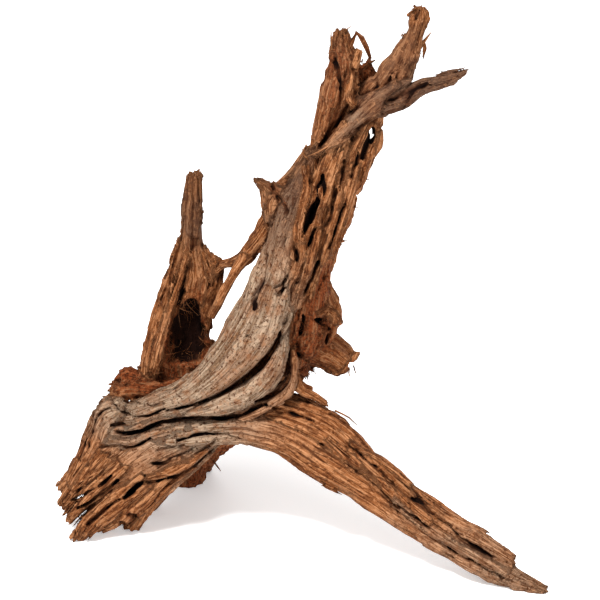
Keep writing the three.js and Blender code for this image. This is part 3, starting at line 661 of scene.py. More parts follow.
class Bar:
    """A strand sampled along its curve, which tells how far points are from its surface.

    Lengths are millimetres. STEP is the spacing of the samples. ROUGH_COUNT samples measure the length,
    and a strand has at least LEAST_COUNT. CHUNK points are measured at once. GRAIN_SHIFT keeps the grain
    of two strands apart. Past an end, the half sizes never shrink below LEAST_SHARE of their own. Torn
    fibres are TORN_FIBRE wide, and change by TORN_STRETCH of a noise step in each millimetre of length.
    A groove is at most GROOVE_START plus GROOVE_RATE times its half width deep, and reaches GROOVE_EDGE
    past its half width.
    """

    STEP = 2.0
    ROUGH_COUNT = 200
    LEAST_COUNT = 6
    CHUNK = 60000
    GRAIN_SHIFT = 37.3
    LEAST_SHARE = 0.35
    TORN_FIBRE = 2.2
    TORN_STRETCH = 0.02
    GROOVE_START = 1.0
    GROOVE_RATE = 2.2
    GROOVE_EDGE = 0.7

    def __init__(self, strand: Strand, number: int) -> None:
        """Sample the curve and its frame.

        The across direction is the tangent crossed with the facing side, and the deep direction is
        across crossed with the tangent.

        Args:
            strand: the strand.
            number: its place in the table, which shifts its grain so that no two strands match.
        """
        self.strand = strand
        rough = smooth_curve(np.array(strand.path, float), self.ROUGH_COUNT)
        length = np.linalg.norm(np.diff(rough[:, :3], axis=0), axis=1).sum()
        count = max(self.LEAST_COUNT, int(length / self.STEP))
        samples = smooth_curve(np.array(strand.path, float), count)
        self.line = samples[:, :3].astype(np.float32)
        tangent = np.gradient(samples[:, :3], axis=0)
        tangent /= np.linalg.norm(tangent, axis=1)[:, None]
        across = np.cross(tangent, np.array(strand.side.value))
        across /= np.linalg.norm(across, axis=1)[:, None]
        self.tangent = tangent.astype(np.float32)
        self.across = across.astype(np.float32)
        self.deep = np.cross(across, tangent).astype(np.float32)
        self.half = samples[:, 3:].astype(np.float32)
        self.growth = (np.gradient(samples[:, 3:], axis=0) / (length / (count - 1))).astype(np.float32)
        self.along = np.linspace(0, length, count).astype(np.float32)
        self.length = length
        self.mean_half = self.half.mean(axis=0)
        self.shift = self.GRAIN_SHIFT * number
        self.reach = float(self.half.max()) + strand.tear

    def box(self, margin: float) -> tuple[Array, Array]:
        """Give the lowest and highest corner of the strand, with a margin all round."""
        grow = self.reach + margin
        return self.line.min(axis=0) - grow, self.line.max(axis=0) + grow

    def nearest(self, points: Array) -> Array:
        """Find the sample nearest to each point, by comparing |c|^2 - 2 p.c for all samples c at once.

        Args:
            points: rows of x, y, z in millimetres.

        Returns:
            The number of the nearest sample, for each point.
        """
        found = np.empty(len(points), np.int32)
        own = (self.line**2).sum(axis=1)
        for start in range(0, len(points), self.CHUNK):
            part = points[start:start + self.CHUNK]
            found[start:start + self.CHUNK] = (own - 2 * (part @ self.line.T)).argmin(axis=1)
        return found

    def locate(self, points: Array, noise: Lattice) -> Place:
        """Measure points against the strand.

        With a and b the distances across and deep, over the half sizes, r = |(a, b)| is 1 on the
        surface. The gap is (r - 1) over the slope of r. Past an end, the gap is also at least the
        distance beyond the end less the length of the torn fibre there, which is noise across the
        section.

        Args:
            points: rows of x, y, z in millimetres.
            noise: lattice for the torn ends.

        Returns:
            The points' place against this strand.
        """
        i = self.nearest(points)
        offset = points - self.line[i]
        step = np.einsum("ij,ij->i", offset, self.tangent[i])
        half = np.maximum(self.half[i] + self.growth[i] * step[:, None], self.LEAST_SHARE * self.half[i])
        flat = np.stack([np.einsum("ij,ij->i", offset, self.across[i]),
                         np.einsum("ij,ij->i", offset, self.deep[i])], axis=1)
        q = flat / half
        r = np.maximum(np.sqrt((q * q).sum(axis=1)), 0.05)
        slope = np.maximum(np.sqrt(((q / half) ** 2).sum(axis=1)) / r, 1e-4)
        gap = (r - 1) / slope
        along = self.along[i] + step
        over = np.maximum(along - self.length, -along)
        ends = over > -self.strand.tear - 2
        if ends.any():
            across = q[ends] * self.mean_half
            past = over[ends]
            place = np.concatenate([across / self.TORN_FIBRE, past[:, None] * self.TORN_STRETCH], axis=1)
            past = past - self.strand.tear * noise.at(place, self.shift)
            gap[ends] = np.maximum(gap[ends], past)
        grain = np.concatenate([q * self.mean_half, along[:, None]], axis=1)
        return Place(gap, grain + self.shift, np.clip(along / self.length, 0, 1))

    def groove(self, points: Array) -> Array:
        """Give the depth of a V-shaped groove along the line, in millimetres.

        It is deepest on the line and falls to nothing a little outside the half width. It fades out
        past the half depth and past the ends, and narrow parts are shallow.

        Args:
            points: rows of x, y, z in millimetres.

        Returns:
            How far the groove pushes the surface in.
        """
        i = self.nearest(points)
        offset = points - self.line[i]
        step = np.einsum("ij,ij->i", offset, self.tangent[i])
        width, deep = self.half[i, 0], self.half[i, 1]
        aside = np.abs(np.einsum("ij,ij->i", offset, self.across[i]))
        inward = np.abs(np.einsum("ij,ij->i", offset, self.deep[i]))
        along = self.along[i] + step
        over = np.maximum(along - self.length, -along)
        fade = (1 - smoothstep(0.9, 1.5, inward / (deep + 2))) * (1 - smoothstep(-1.0, 1.5, over))
        bottom = np.minimum(deep, self.GROOVE_START + self.GROOVE_RATE * width)
        return bottom * np.clip(1 - aside / (width + self.GROOVE_EDGE), 0, 1) * fade

    def spread(self, values: tuple[float, ...], share: Array) -> Array:
        """Read values that are spread evenly along the strand at the given shares of its length."""
        return np.interp(share, np.linspace(0, 1, len(values)), values)


@dataclass(frozen=True)
class Carving:
    """One kind of relief, read from noise that is stretched along the grain.

    Attributes:
        size: its size across, deep and along the grain, in millimetres.
        shift: where in the noise it is read.
        depth: how far it goes in, in millimetres.
    """

    size: tuple[float, float, float]
    shift: float
    depth: float

    def at(self, lattice: Lattice, grain: Array) -> Array:
        """Read the noise at places in the grain."""
        return lattice.at(grain / np.array(self.size, np.float32), self.shift)


# The kinds of relief that sound wood has.
FURROW = Carving((8, 8, 85), 3.1, 1.8)
SMALL_FURROW = Carving((3.6, 3.6, 40), 7.7, 1.4)
THREAD = Carving((1.8, 1.8, 24), 1.9, 0.8)
FLAKE = Carving((10, 10, 95), 17.0, 1.3)
SPLIT = Carving((10, 10, 70), 13.3, 1.4)
PIT = Carving((3.2, 3.2, 9), 21.0, 1.8)


@dataclass
class Wood:
    """The wood at a set of points, as whole arrays.

    Attributes:
        gap: distance outside the surface in millimetres, negative inside.
        depth: how far below the plain strands' surface the point lies, in millimetres.
        grain: rows of (across, deep, along), following the fibres of the nearest strand.
        tone: rows of (pale, rot, grey).
    """

    gap: Array
    depth: Array
    grain: Array
    tone: Array


class WoodField:
    """All strands and hollows together.

    Lengths are millimetres. JOIN and CUT_JOIN are how softly strands and hollows meet. NEAR, PLAIN_NEAR
    and CUT_NEAR are how far round a strand's box points are measured, and FAR_CUT is the gap given to a
    point with no hollow near. Rot spreads CUT_REACH round a hollow. RISE lifts the whole surface, so
    that the relief dips both sides of the plain strands. FIRST_CUT numbers the hollows after the
    strands, and SEEDS are the two noises' seeds.
    """

    JOIN = 1.0
    CUT_JOIN = 0.6
    NEAR = 9.0
    PLAIN_NEAR = 12.0
    CUT_NEAR = 8.0
    CUT_REACH = 1.6
    FAR_CUT = 40.0
    RISE = 1.3
    FIRST_CUT = 90
    SEEDS = (11, 29)

    def __init__(self) -> None:
        """Sample every strand and make the noise."""
        self.bars = [Bar(strand, i) for i, strand in enumerate(STRANDS)]
        self.cuts = [Bar(strand, i + self.FIRST_CUT) for i, strand in enumerate(HOLLOWS.values())]
        self.noise, self.other = (Lattice(seed) for seed in self.SEEDS)

    def smooth(self, points: Array) -> Array:
        """Give the plain distance to the strands, without relief, as the least of the gaps.

        Args:
            points: rows of x, y, z in millimetres.

        Returns:
            The distance in millimetres, negative inside.
        """
        gap = np.full(len(points), 1e3, np.float32)
        for bar in self.bars:
            low, high = bar.box(self.PLAIN_NEAR)
            near = np.flatnonzero(((points > low) & (points < high)).all(axis=1))
            if len(near):
                gap[near] = np.minimum(gap[near], bar.locate(points[near], self.noise).gap)
        return gap

    def at(self, points: Array) -> Wood:
        """Work out the wood at points.

        The strands are joined as -k ln(sum of e^(-gap/k)), which is their least gap with soft valleys.
        Relief is worked out in the nearest strand's grain and fades to nothing where two strands are
        equally near. The hollows are taken away, and everything below the ground too.

        Args:
            points: rows of x, y, z in millimetres.

        Returns:
            The wood there.
        """
        count = len(points)
        total = np.full(count, 1e-12, np.float32)
        best = np.full(count, 1e3, np.float32)
        grain = np.zeros((count, 3), np.float32)
        tone = np.zeros((count, 3), np.float32)
        relief = np.ones(count, np.float32)
        for bar in self.bars:
            low, high = bar.box(self.NEAR)
            near = np.flatnonzero(((points > low) & (points < high)).all(axis=1))
            if not len(near):
                continue
            place = bar.locate(points[near], self.noise)
            weight = np.exp(np.clip(-place.gap / self.JOIN, -20, 20)).astype(np.float32)
            total[near] += weight
            kinds = (bar.strand.pale, bar.strand.rot, bar.strand.grey)
            tone[near] += weight[:, None] * np.stack([bar.spread(kind, place.share) for kind in kinds], 1)
            closer = place.gap < best[near]
            chosen = near[closer]
            best[chosen] = place.gap[closer]
            grain[chosen] = place.grain[closer]
            relief[chosen] = bar.strand.relief
        gap = -self.JOIN * np.log(total)
        tone /= total[:, None]
        lead = np.exp(np.clip(-best / self.JOIN, -20, 20)) / total
        cut_gap, cut_rot, groove = self.hollow(points)
        cut = np.exp(-np.maximum(cut_gap, 0) / self.CUT_REACH)
        rot = np.maximum(tone[:, 1], cut * cut_rot)
        dip = self.relief(points, grain, rot, relief * smoothstep(0.5, 0.8, lead), tone[:, 0])
        solid, wall = gap + dip + groove, 1.2 * dip * cut - cut_gap
        hollowed = self.CUT_JOIN * np.logaddexp(solid / self.CUT_JOIN, wall / self.CUT_JOIN)
        tone[:, 1] = rot
        return Wood(np.maximum(hollowed, -points[:, 2]), -gap, grain, tone)

    def hollow(self, points: Array) -> tuple[Array, Array, Array]:
        """Give the least gap to the old hollows, how rotten the nearest one is, and the deepest groove.

        The points are first moved a little by noise in two sizes, so that the walls are ragged.

        Args:
            points: rows of x, y, z in millimetres.

        Returns:
            Gaps and grooves in millimetres, with the rot between them.
        """
        coarse, fine = self.other.at(points / 6.0, 3.7), self.noise.at(points / 2.8, 7.3)
        rough = coarse[:, None] * 1.3 + fine[:, None] * 0.8
        points = points + rough * np.array([0.8, 0.0, 0.6], np.float32)
        gap = np.full(len(points), self.FAR_CUT, np.float32)
        rot = np.zeros(len(points), np.float32)
        groove = np.zeros(len(points), np.float32)
        for bar in self.cuts:
            low, high = bar.box(self.CUT_NEAR)
            near = np.flatnonzero(((points > low) & (points < high)).all(axis=1))
            if len(near):
                place = bar.locate(points[near], self.noise)
                closer = place.gap < gap[near]
                gap[near[closer]] = place.gap[closer]
                rot[near[closer]] = bar.strand.rot[0]
                groove[near] = np.maximum(groove[near], bar.groove(points[near]))
        return gap, rot, groove

    def relief(self, points: Array, grain: Array, rot: Array, depth: Array, pale: Array) -> Array:
        """Work out how far the surface dips below the plain strands.

        Furrows, small furrows and splits lie where their noise is near zero, so they are long and thin,
        and splits are narrow and only in patches. Threads are plain noise. A flake is three times its
        noise, less its whole part, so it climbs and drops back sharply like a peeled layer. Pits are the
        peaks of their noise. Rotten wood gets crumbs and lumps instead, which are the size of noise that
        isn't stretched. A swell moves the whole surface a little.

        Args:
            points: rows of x, y, z in millimetres.
            grain: the points in grain millimetres.
            rot: how crumbly the wood is.
            depth: how strong the furrows are.
            pale: how bleached the wood is.

        Returns:
            The dip in millimetres.
        """
        wave = self.other.at(points / 26)[:, None] * 5.0
        sway = self.noise.at(points / 11, 5.5)[:, None] * 1.4
        bent = grain + (wave + sway) * np.array([1, 1, 0], np.float32)
        furrow = 1 - smoothstep(0.0, 0.40, np.abs(FURROW.at(self.noise, bent)))
        small = 1 - smoothstep(0.0, 0.38, np.abs(SMALL_FURROW.at(self.other, bent)))
        climb = 3.0 * FLAKE.at(self.noise, bent)
        climb -= np.floor(climb)
        flake = climb - smoothstep(0.84, 1.0, climb)
        patch = smoothstep(-0.15, 0.3, self.noise.at(points / 22, 9.2))
        split = (1 - smoothstep(0.02, 0.10, np.abs(SPLIT.at(self.other, bent)))) * patch
        pits = smoothstep(0.42, 0.8, PIT.at(self.other, bent))
        crumbs = np.abs(self.noise.at(points / 5.5, 2.2)) * 3.0
        crumbs = crumbs + np.abs(self.other.at(points / 2.6, 4.4)) * 1.6
        lumps = np.abs(self.other.at(points / 13, 15.2)) * 4.0 - 1.6
        swell = self.other.at(points / 16, 6.1) * 1.0 + self.noise.at(points / 8, 8.8) * 0.5
        cuts = FURROW.depth * furrow + SMALL_FURROW.depth * small
        cuts = (cuts + FLAKE.depth * flake + SPLIT.depth * split) * (1 - 0.6 * pale)
        cuts += (THREAD.depth + 0.4 * pale) * THREAD.at(self.noise, bent) + PIT.depth * pits * (0.3 + pale)
        return depth * cuts * (1 - 0.6 * rot) + rot * (crumbs + lumps + 0.5 * pits) + swell - self.RISE


# ------------------------------------------------------------------ skinning the field


@dataclass(frozen=True)
class Grid:
    """A grid of points over the wood.

    Attributes:
        low: the lowest corner, in millimetres.
        step: distance between points, in millimetres.
        cells: how many coarse cells there are along each axis.
        fine: how many points a coarse cell has along each axis.
    """

    low: Array
    step: float
    cells: tuple[int, int, int]
    fine: int

    @property
    def shape(self) -> tuple[int, ...]:
        """The number of points along each axis."""
        return tuple(n * self.fine for n in self.cells)


# How far outside or inside a skipped cell counts, how far the relief dips and rises, how far a hollow's
# wall moves, all in millimetres, and how many coarse cells are filled at once.
FAR = 9.0
DEEPEST_DIP = 8.5
HIGHEST_RISE = 2.0
WALL_DIP = 1.5
CELLS_AT_ONCE = 6000


def band_values(wood: WoodField, grid: Grid) -> Array:
    """Sample the field on the grid, but only near the surface.

    The plain distance is worked out at the middle of each coarse cell. Cells whose middle is nearer
    to the surface than the relief can reach, or near the wall of a hollow, are filled with true
    values; the rest are set to a large value with the sign of the plain distance, or of the hollow.

    Args:
        wood: the field.
        grid: where to sample.

    Returns:
        A three-axis array of gaps.
    """
    n, m = grid.cells, grid.fine
    index = np.indices(n).reshape(3, -1).T
    middle = (grid.low + (index + 0.5 - 0.5 / m) * grid.step * m).astype(np.float32)
    plain = wood.smooth(middle)
    slack = grid.step * m * 0.87
    hollow = wood.hollow(middle)[0]
    walls = (plain < 0) & (np.abs(hollow) < WALL_DIP + slack)
    active = np.flatnonzero((plain > -DEEPEST_DIP - slack) & (plain < HIGHEST_RISE + slack) | walls)
    outside = (plain > 0) | (hollow < -slack)
    blocks = np.repeat(np.where(outside, FAR, -FAR).astype(np.float32)[:, None], m**3, axis=1)
    inner = np.indices((m, m, m)).reshape(3, -1).T
    for part in np.array_split(active, max(1, len(active) // CELLS_AT_ONCE)):
        points = grid.low + (index[part][:, None, :] * m + inner[None]) * grid.step
        blocks[part] = wood.at(points.reshape(-1, 3).astype(np.float32)).gap.reshape(len(part), -1)
    return blocks.reshape(*n, m, m, m).transpose(0, 3, 1, 4, 2, 5).reshape(grid.shape)


def skin(values: Array) -> tuple[Array, Array]:
    """Skin the zero surface of a grid of values.

    Each cell that the surface crosses gets one vertex, at the mean of the crossings on its twelve
    edges. Each grid edge that the surface crosses gets one face through the four cells round it.

    Args:
        values: negative inside.

    Returns:
        Vertices in grid steps, and quads.
    """
    inside = values < 0
    size = tuple(n - 1 for n in values.shape)
    count = np.zeros(size, np.int8)
    corners = [(a, b, c) for a in (0, 1) for b in (0, 1) for c in (0, 1)]
    for a, b, c in corners:
        count += inside[a:a + size[0], b:b + size[1], c:c + size[2]]
    cells = np.flatnonzero((count > 0) & (count < 8))
    base = np.stack(np.unravel_index(cells, size), axis=1)
    held = [values[tuple((base + corner).T)] for corner in corners]
    place = np.zeros((len(cells), 3))
    found = np.zeros(len(cells))
    for i, first in enumerate(corners):
        for j, second in enumerate(corners):
            if i < j and sum(abs(p - q) for p, q in zip(first, second)) == 1:
                crossed = (held[i] < 0) != (held[j] < 0)
                gap = np.where(crossed, held[i] - held[j], 1.0)
                t = np.where(crossed, held[i] / gap, 0.0)
                point = np.array(first) + t[:, None] * (np.array(second) - np.array(first))
                place += np.where(crossed[:, None], point, 0.0)
                found += crossed
    vertices = base + place / found[:, None]
    quads = []
    for axis in range(3):
        u, v = (axis + 1) % 3, (axis + 2) % 3
        ahead = np.eye(3, dtype=int)
        here = [slice(1, n) for n in size]
        there = [slice(1, n) for n in size]
        there[axis] = slice(2, size[axis] + 1)
        one, two = inside[tuple(here)], inside[tuple(there)]
        starts = np.stack(np.nonzero(one != two), axis=1) + 1
        outward = one[one != two]
        ring = [starts - ahead[u] - ahead[v], starts - ahead[v], starts, starts - ahead[u]]
        ids = np.stack([np.searchsorted(cells, np.ravel_multi_index(tuple(r.T), size)) for r in ring], axis=1)
        ids[~outward] = ids[~outward][:, ::-1]
        quads.append(ids)
    return vertices, np.concatenate(quads)


def largest_shell(vertices: Array, quads: Array) -> tuple[Array, Array]:
    """Keep only the largest connected shell, by spreading the lowest vertex number over the faces.

    Args:
        vertices: rows of x, y, z.
        quads: rows of four vertex numbers.

    Returns:
        The vertices and quads of that shell.
    """
    label = np.arange(len(vertices))
    while True:
        low = label[quads].min(axis=1)
        spread = label.copy()
        for corner in range(4):
            np.minimum.at(spread, quads[:, corner], low)
        spread = spread[spread]
        if (spread == label).all():
            break
        label = spread
    winner = np.bincount(label).argmax()
    kept = quads[(label[quads] == winner).all(axis=1)]
    used, inverse = np.unique(kept, return_inverse=True)
    return vertices[used], inverse.reshape(-1, 4)


def make_mesh(name: str, vertices: Array, faces: Array) -> bpy.types.Mesh:
    """Put whole arrays of vertices and equal-sized faces into a new smooth mesh.

    Args:
        name: the mesh's name.
        vertices: rows of x, y, z in metres.
        faces: rows of vertex numbers.

    Returns:
        The mesh.
    """
    mesh = bpy.data.meshes.new(name)
    corners = faces.shape[1]
    mesh.vertices.add(len(vertices))
    mesh.vertices.foreach_set("co", vertices.astype(np.float32).ravel())
    mesh.loops.add(faces.size)
    mesh.loops.foreach_set("vertex_index", faces.astype(np.int32).ravel())
    mesh.polygons.add(len(faces))
    mesh.polygons.foreach_set("loop_start", np.arange(0, faces.size, corners, dtype=np.int32))
    mesh.polygons.foreach_set("use_smooth", np.ones(len(faces), bool))
    mesh.update(calc_edges=True)
    mesh.validate()
    return mesh


def show(mesh: bpy.types.Mesh, name: str) -> bpy.types.Object:
    """Make an object of a mesh and put it in the scene.

    Args:
        mesh: the mesh.
        name: the object's name.

    Returns:
        The object.
    """
    piece = bpy.data.objects.new(name, mesh)
    bpy.context.scene.collection.objects.link(piece)
    return piece


# ------------------------------------------------------------------ shader maths


class Sum:
    """A socket in a node tree that can be used in sums: each operator adds its node."""

    def __init__(self, tree: "ShaderTree", socket: bpy.types.NodeSocket) -> None:
        """Wrap a socket of a tree."""
        self.tree = tree
        self.socket = socket

    def _math(self, operation: str, *terms: "Sum | float") -> "Sum":
        """Add one Math node."""
        return self.tree.node("ShaderNodeMath", {"operation": operation}, dict(enumerate(terms)))

    def __add__(self, other: "Sum | float") -> "Sum":
        """Add."""
        return self._math("ADD", self, other)

    def __radd__(self, other: float) -> "Sum":
        """Add, from the right."""
        return self._math("ADD", other, self)

    def __sub__(self, other: "Sum | float") -> "Sum":
        """Subtract."""
        return self._math("SUBTRACT", self, other)

    def __rsub__(self, other: float) -> "Sum":
        """Subtract from a number."""
        return self._math("SUBTRACT", other, self)

    def __mul__(self, other: "Sum | float") -> "Sum":
        """Multiply."""
        return self._math("MULTIPLY", self, other)

    def __rmul__(self, other: float) -> "Sum":
        """Multiply, from the right."""
        return self._math("MULTIPLY", other, self)

    def between(self, low: float, high: float) -> "Sum":
        """Rise smoothly from 0 at low to 1 at high."""
        sockets = {"Value": self, "From Min": low, "From Max": high}
        return self.tree.node("ShaderNodeMapRange", {"interpolation_type": "SMOOTHSTEP"}, sockets)


class ShaderTree:
    """The node tree of one material."""

    def __init__(self, name: str) -> None:
        """Make an empty material.

        Args:
            name: the material's name.
        """
        self.material = bpy.data.materials.new(name)
        self.material.use_nodes = True
        self.nodes = self.material.node_tree.nodes
        self.nodes.clear()

    def node(self, kind: str, settings: dict, sockets: dict, output: int | str | None = 0) -> Sum | None:
        """Add a node.

        Args:
            kind: the node's type name.
            settings: values of the node itself, set first.
            sockets: input name or number, to a value or a Sum to link.
            output: the output to return, or None for a node that has none.

        Returns:
            The wrapped output.
        """
        made = self.nodes.new(kind)
        for key, value in settings.items():
            setattr(made, key, value)
        for key, value in sockets.items():
            if isinstance(value, Sum):
                self.material.node_tree.links.new(value.socket, made.inputs[key])
            else:
                made.inputs[key].default_value = value
        return None if output is None else Sum(self, made.outputs[output])

    def attribute(self, name: str, output: str = "Vector") -> Sum:
        """Read an attribute of the mesh."""
        return self.node("ShaderNodeAttribute", {"attribute_name": name}, {}, output)

    def surface(self, shader: Sum) -> None:
        """Link a shader to the material's output."""
        self.node("ShaderNodeOutputMaterial", {}, {"Surface": shader}, None)

    def stretched(self, place: Sum, scale: tuple[float, float, float]) -> Sum:
        """Scale a place along each of its axes."""
        return self.node("ShaderNodeVectorMath", {"operation": "MULTIPLY"}, {0: place, 1: scale})

    def noise(self, place: Sum, detail: float = 2.0, rough: float = 0.5, scale: float = 1.0) -> Sum:
        """Add noise at a place."""
        sockets = {"Vector": place, "Scale": scale, "Detail": detail, "Roughness": rough}
        return self.node("ShaderNodeTexNoise", {}, sockets)

    def blend(self, first: "Sum | Colour", second: "Sum | Colour", share: "Sum | float") -> Sum:
        """Mix two colours."""
        sockets = {"Factor": share, 6: colour(first), 7: colour(second)}
        return self.node("ShaderNodeMix", {"data_type": "RGBA"}, sockets, 2)


Colour = tuple[float, float, float]


def colour(value: "Sum | Colour") -> "Sum | tuple[float, ...]":
    """Give a plain colour its alpha, and leave a socket as it is."""
    return value if isinstance(value, Sum) else (*value, 1.0)


@dataclass(frozen=True)
class WeatheredWood:
    """Bare wood worn by water: brown fibres, bleached ridges, red rot, and painted shade darkening its
    cracks.

    Attributes:
        brown, deep_brown, tan: the plain wood's middle, groove and ridge colours; deep_brown is also the
            first step of the painted shade.
        pale, bleach, pale_groove: bleached wood's middle, ridge and groove colours.
        rot, rot_dark: rotten wood.
        grey, grey_groove: silvery wood.
        crack: near black, the painted shade at the bottom of a crack.
        relief: how high the fibres stand, in metres.
    """

    brown: Colour = (0.21, 0.071, 0.0225)
    deep_brown: Colour = (0.05, 0.012, 0.0028)
    tan: Colour = (0.45, 0.205, 0.09)
    pale: Colour = (0.245, 0.165, 0.108)
    bleach: Colour = (0.43, 0.305, 0.205)
    pale_groove: Colour = (0.105, 0.05, 0.022)
    rot: Colour = (0.20, 0.048, 0.0135)
    rot_dark: Colour = (0.028, 0.005, 0.0012)
    grey: Colour = (0.09, 0.051, 0.033)
    grey_groove: Colour = (0.032, 0.012, 0.006)
    crack: Colour = (0.006, 0.0014, 0.0005)
    relief: float = 0.0032

    def build(self) -> bpy.types.Material:
        """Make the material.

        Fibres are noise on the grain attribute, stretched along the grain, in three sizes. They choose
        between groove, middle and ridge colours. Thin splits lie where still longer noise passes its
        middle value. The tone attribute's three values then turn the colour pale, rotten or grey, and the
        painted shade attribute paints shade into cracks and hollows, deep brown and then near black.

        Returns:
            The material.
        """
        tree = ShaderTree("weathered_wood")
        grain = tree.attribute("grain")
        place = tree.node("ShaderNodeTexCoord", {}, {}, "Object")
        tone = tree.attribute("tone")
        pale, rot, grey = (tree.node("ShaderNodeSeparateXYZ", {}, {0: tone}, i) for i in range(3))
        painted_shade = tree.attribute("painted_shade", "Fac")
        fibre = tree.noise(tree.stretched(grain, (0.30, 0.30, 0.015)), 3.0, 0.6)
        thread = tree.noise(tree.stretched(grain, (0.75, 0.75, 0.03)), 3.0, 0.65)
        hair = tree.noise(tree.stretched(grain, (1.5, 1.5, 0.07)), 2.0, 0.6)
        blotch = tree.noise(place, 3.0, 0.6, 45.0)
        patch = tree.noise(place, 3.0, 0.65, 130.0)
        speck = tree.noise(place, 3.0, 0.7, 480.0)
        middle = tree.noise(tree.stretched(grain, (0.2, 0.2, 0.011)), 2.0, 0.5) - 0.5
        split = (1.0 - (middle * middle).between(0.00003, 0.0006)) * blotch.between(0.38, 0.55)
        mixed = fibre * 0.3 + thread * 0.4 + hair * 0.3
        groove = 1.0 - mixed.between(0.42, 0.49)
        ridge = mixed.between(0.49, 0.57)
        plain = tree.blend(tree.blend(self.brown, self.tan, ridge * 0.85), self.deep_brown, groove * 0.9)
        plain = tree.blend(plain, self.tan, blotch.between(0.5, 0.72) * 0.4)
        plain = tree.blend(plain, self.deep_brown, patch.between(0.52, 0.66) * 0.6)
        bleached = tree.blend(tree.blend(self.pale, self.bleach, ridge * 0.7), self.pale_groove, groove * 0.8)
        bleached = tree.blend(bleached, self.brown, blotch.between(0.46, 0.66) * 0.4)
        bleached = tree.blend(bleached, self.brown, patch.between(0.50, 0.64) * 0.45)
        bleached = tree.blend(bleached, self.deep_brown, speck.between(0.53, 0.66) * 0.85)
        rotten = tree.blend(self.rot, self.rot_dark, (speck * 0.5 + hair * 0.5).between(0.45, 0.57) * 0.9)
        rotten = tree.blend(rotten, self.tan, ridge * 0.4)
        silver = tree.blend(self.grey, self.grey_groove, groove * 0.8)
        edge = (blotch - 0.5) * 0.7
        base = tree.blend(plain, silver, (grey + edge).between(0.15, 0.85) * 0.85)
        base = tree.blend(base, bleached, (pale + edge).between(0.2, 0.85))
        base = tree.blend(base, rotten, (rot + edge).between(0.25, 0.8))
        base = tree.blend(base, self.deep_brown, speck.between(0.55, 0.68) * (1.0 - rot * 0.7) * 0.55)
        base = tree.blend(base, self.tan, (1.0 - speck).between(0.56, 0.68) * (1.0 - rot) * 0.4)
        base = tree.blend(base, self.deep_brown, split * (1.0 - rot) * (1.0 - pale * 0.4) * 0.85)
        # Painted shade: deep brown, then near black, where the painted shade value marks cracks, hollows and
        # closed-in places.
        base = tree.blend(base, self.deep_brown, painted_shade.between(0.06, 0.45) * 0.7)
        base = tree.blend(base, self.crack, painted_shade.between(0.3, 0.85))
        rough = 0.92 - ridge * 0.12 + painted_shade * 0.06
        height = fibre * 0.35 + thread * 0.45 + hair * 0.4 - split * 0.25 + speck * (rot * 0.5 + 0.35)
        relief = {"Strength": 1.0, "Distance": self.relief, "Height": height}
        bump = tree.node("ShaderNodeBump", {}, relief, "Normal")
        sockets = {"Base Color": base, "Roughness": rough, "Normal": bump, "Specular IOR Level": 0.08}
        tree.surface(tree.node("ShaderNodeBsdfPrincipled", {}, sockets, "BSDF"))
        return tree.material


# ------------------------------------------------------------------ the pieces


def write_attribute(mesh: bpy.types.Mesh, name: str, values: Array) -> None:
    """Store one number or one vector for each vertex."""
    kind, field = ("FLOAT", "value") if values.ndim == 1 else ("FLOAT_VECTOR", "vector")
    mesh.attributes.new(name, kind, "POINT").data.foreach_set(field, values.astype(np.float32).ravel())


def read_vertices(mesh: bpy.types.Mesh, field: str = "co") -> Array:
    """Read the vertices' places or normals.

    Args:
        mesh: the mesh.
        field: co for places, normal for normals.

    Returns:
        Rows of three numbers.
    """
    values = np.empty(len(mesh.vertices) * 3, np.float32)
    mesh.vertices.foreach_get(field, values)
    return values.reshape(-1, 3)


def tubes(lines: Array, radii: Array) -> tuple[Array, Array]:
    """Make closed four-sided tubes along many short lines at once.

    Each ring lies square to its line: u is the tangent crossed with a fixed slanted vector, v is the
    tangent crossed with u, and the four corners lie along u, v, -u and -v.

    Args:
        lines: tubes by points by x, y, z.
        radii: tubes by points.

    Returns:
        Vertices and triangles.
    """
    count, rings = radii.shape
    tangent = np.gradient(lines, axis=1)
    tangent /= np.linalg.norm(tangent, axis=2)[:, :, None]
    u = np.cross(tangent, np.array([0.36, 0.48, 0.8]))
    u /= np.linalg.norm(u, axis=2)[:, :, None]
    v = np.cross(tangent, u)
    corners = np.stack([u, v, -u, -v], axis=2) * radii[:, :, None, None] + lines[:, :, None]
    ids = np.arange(count * rings * 4).reshape(count, rings, 4)
    turned = np.roll(ids, -1, axis=2)
    sides = np.stack([ids[:, :-1], turned[:, :-1], turned[:, 1:], ids[:, 1:]], axis=-1).reshape(-1, 4)
    quads = np.concatenate([sides, ids[:, 0, ::-1], ids[:, -1]])
    return corners.reshape(-1, 3), np.concatenate([quads[:, [0, 1, 2]], quads[:, [0, 2, 3]]])


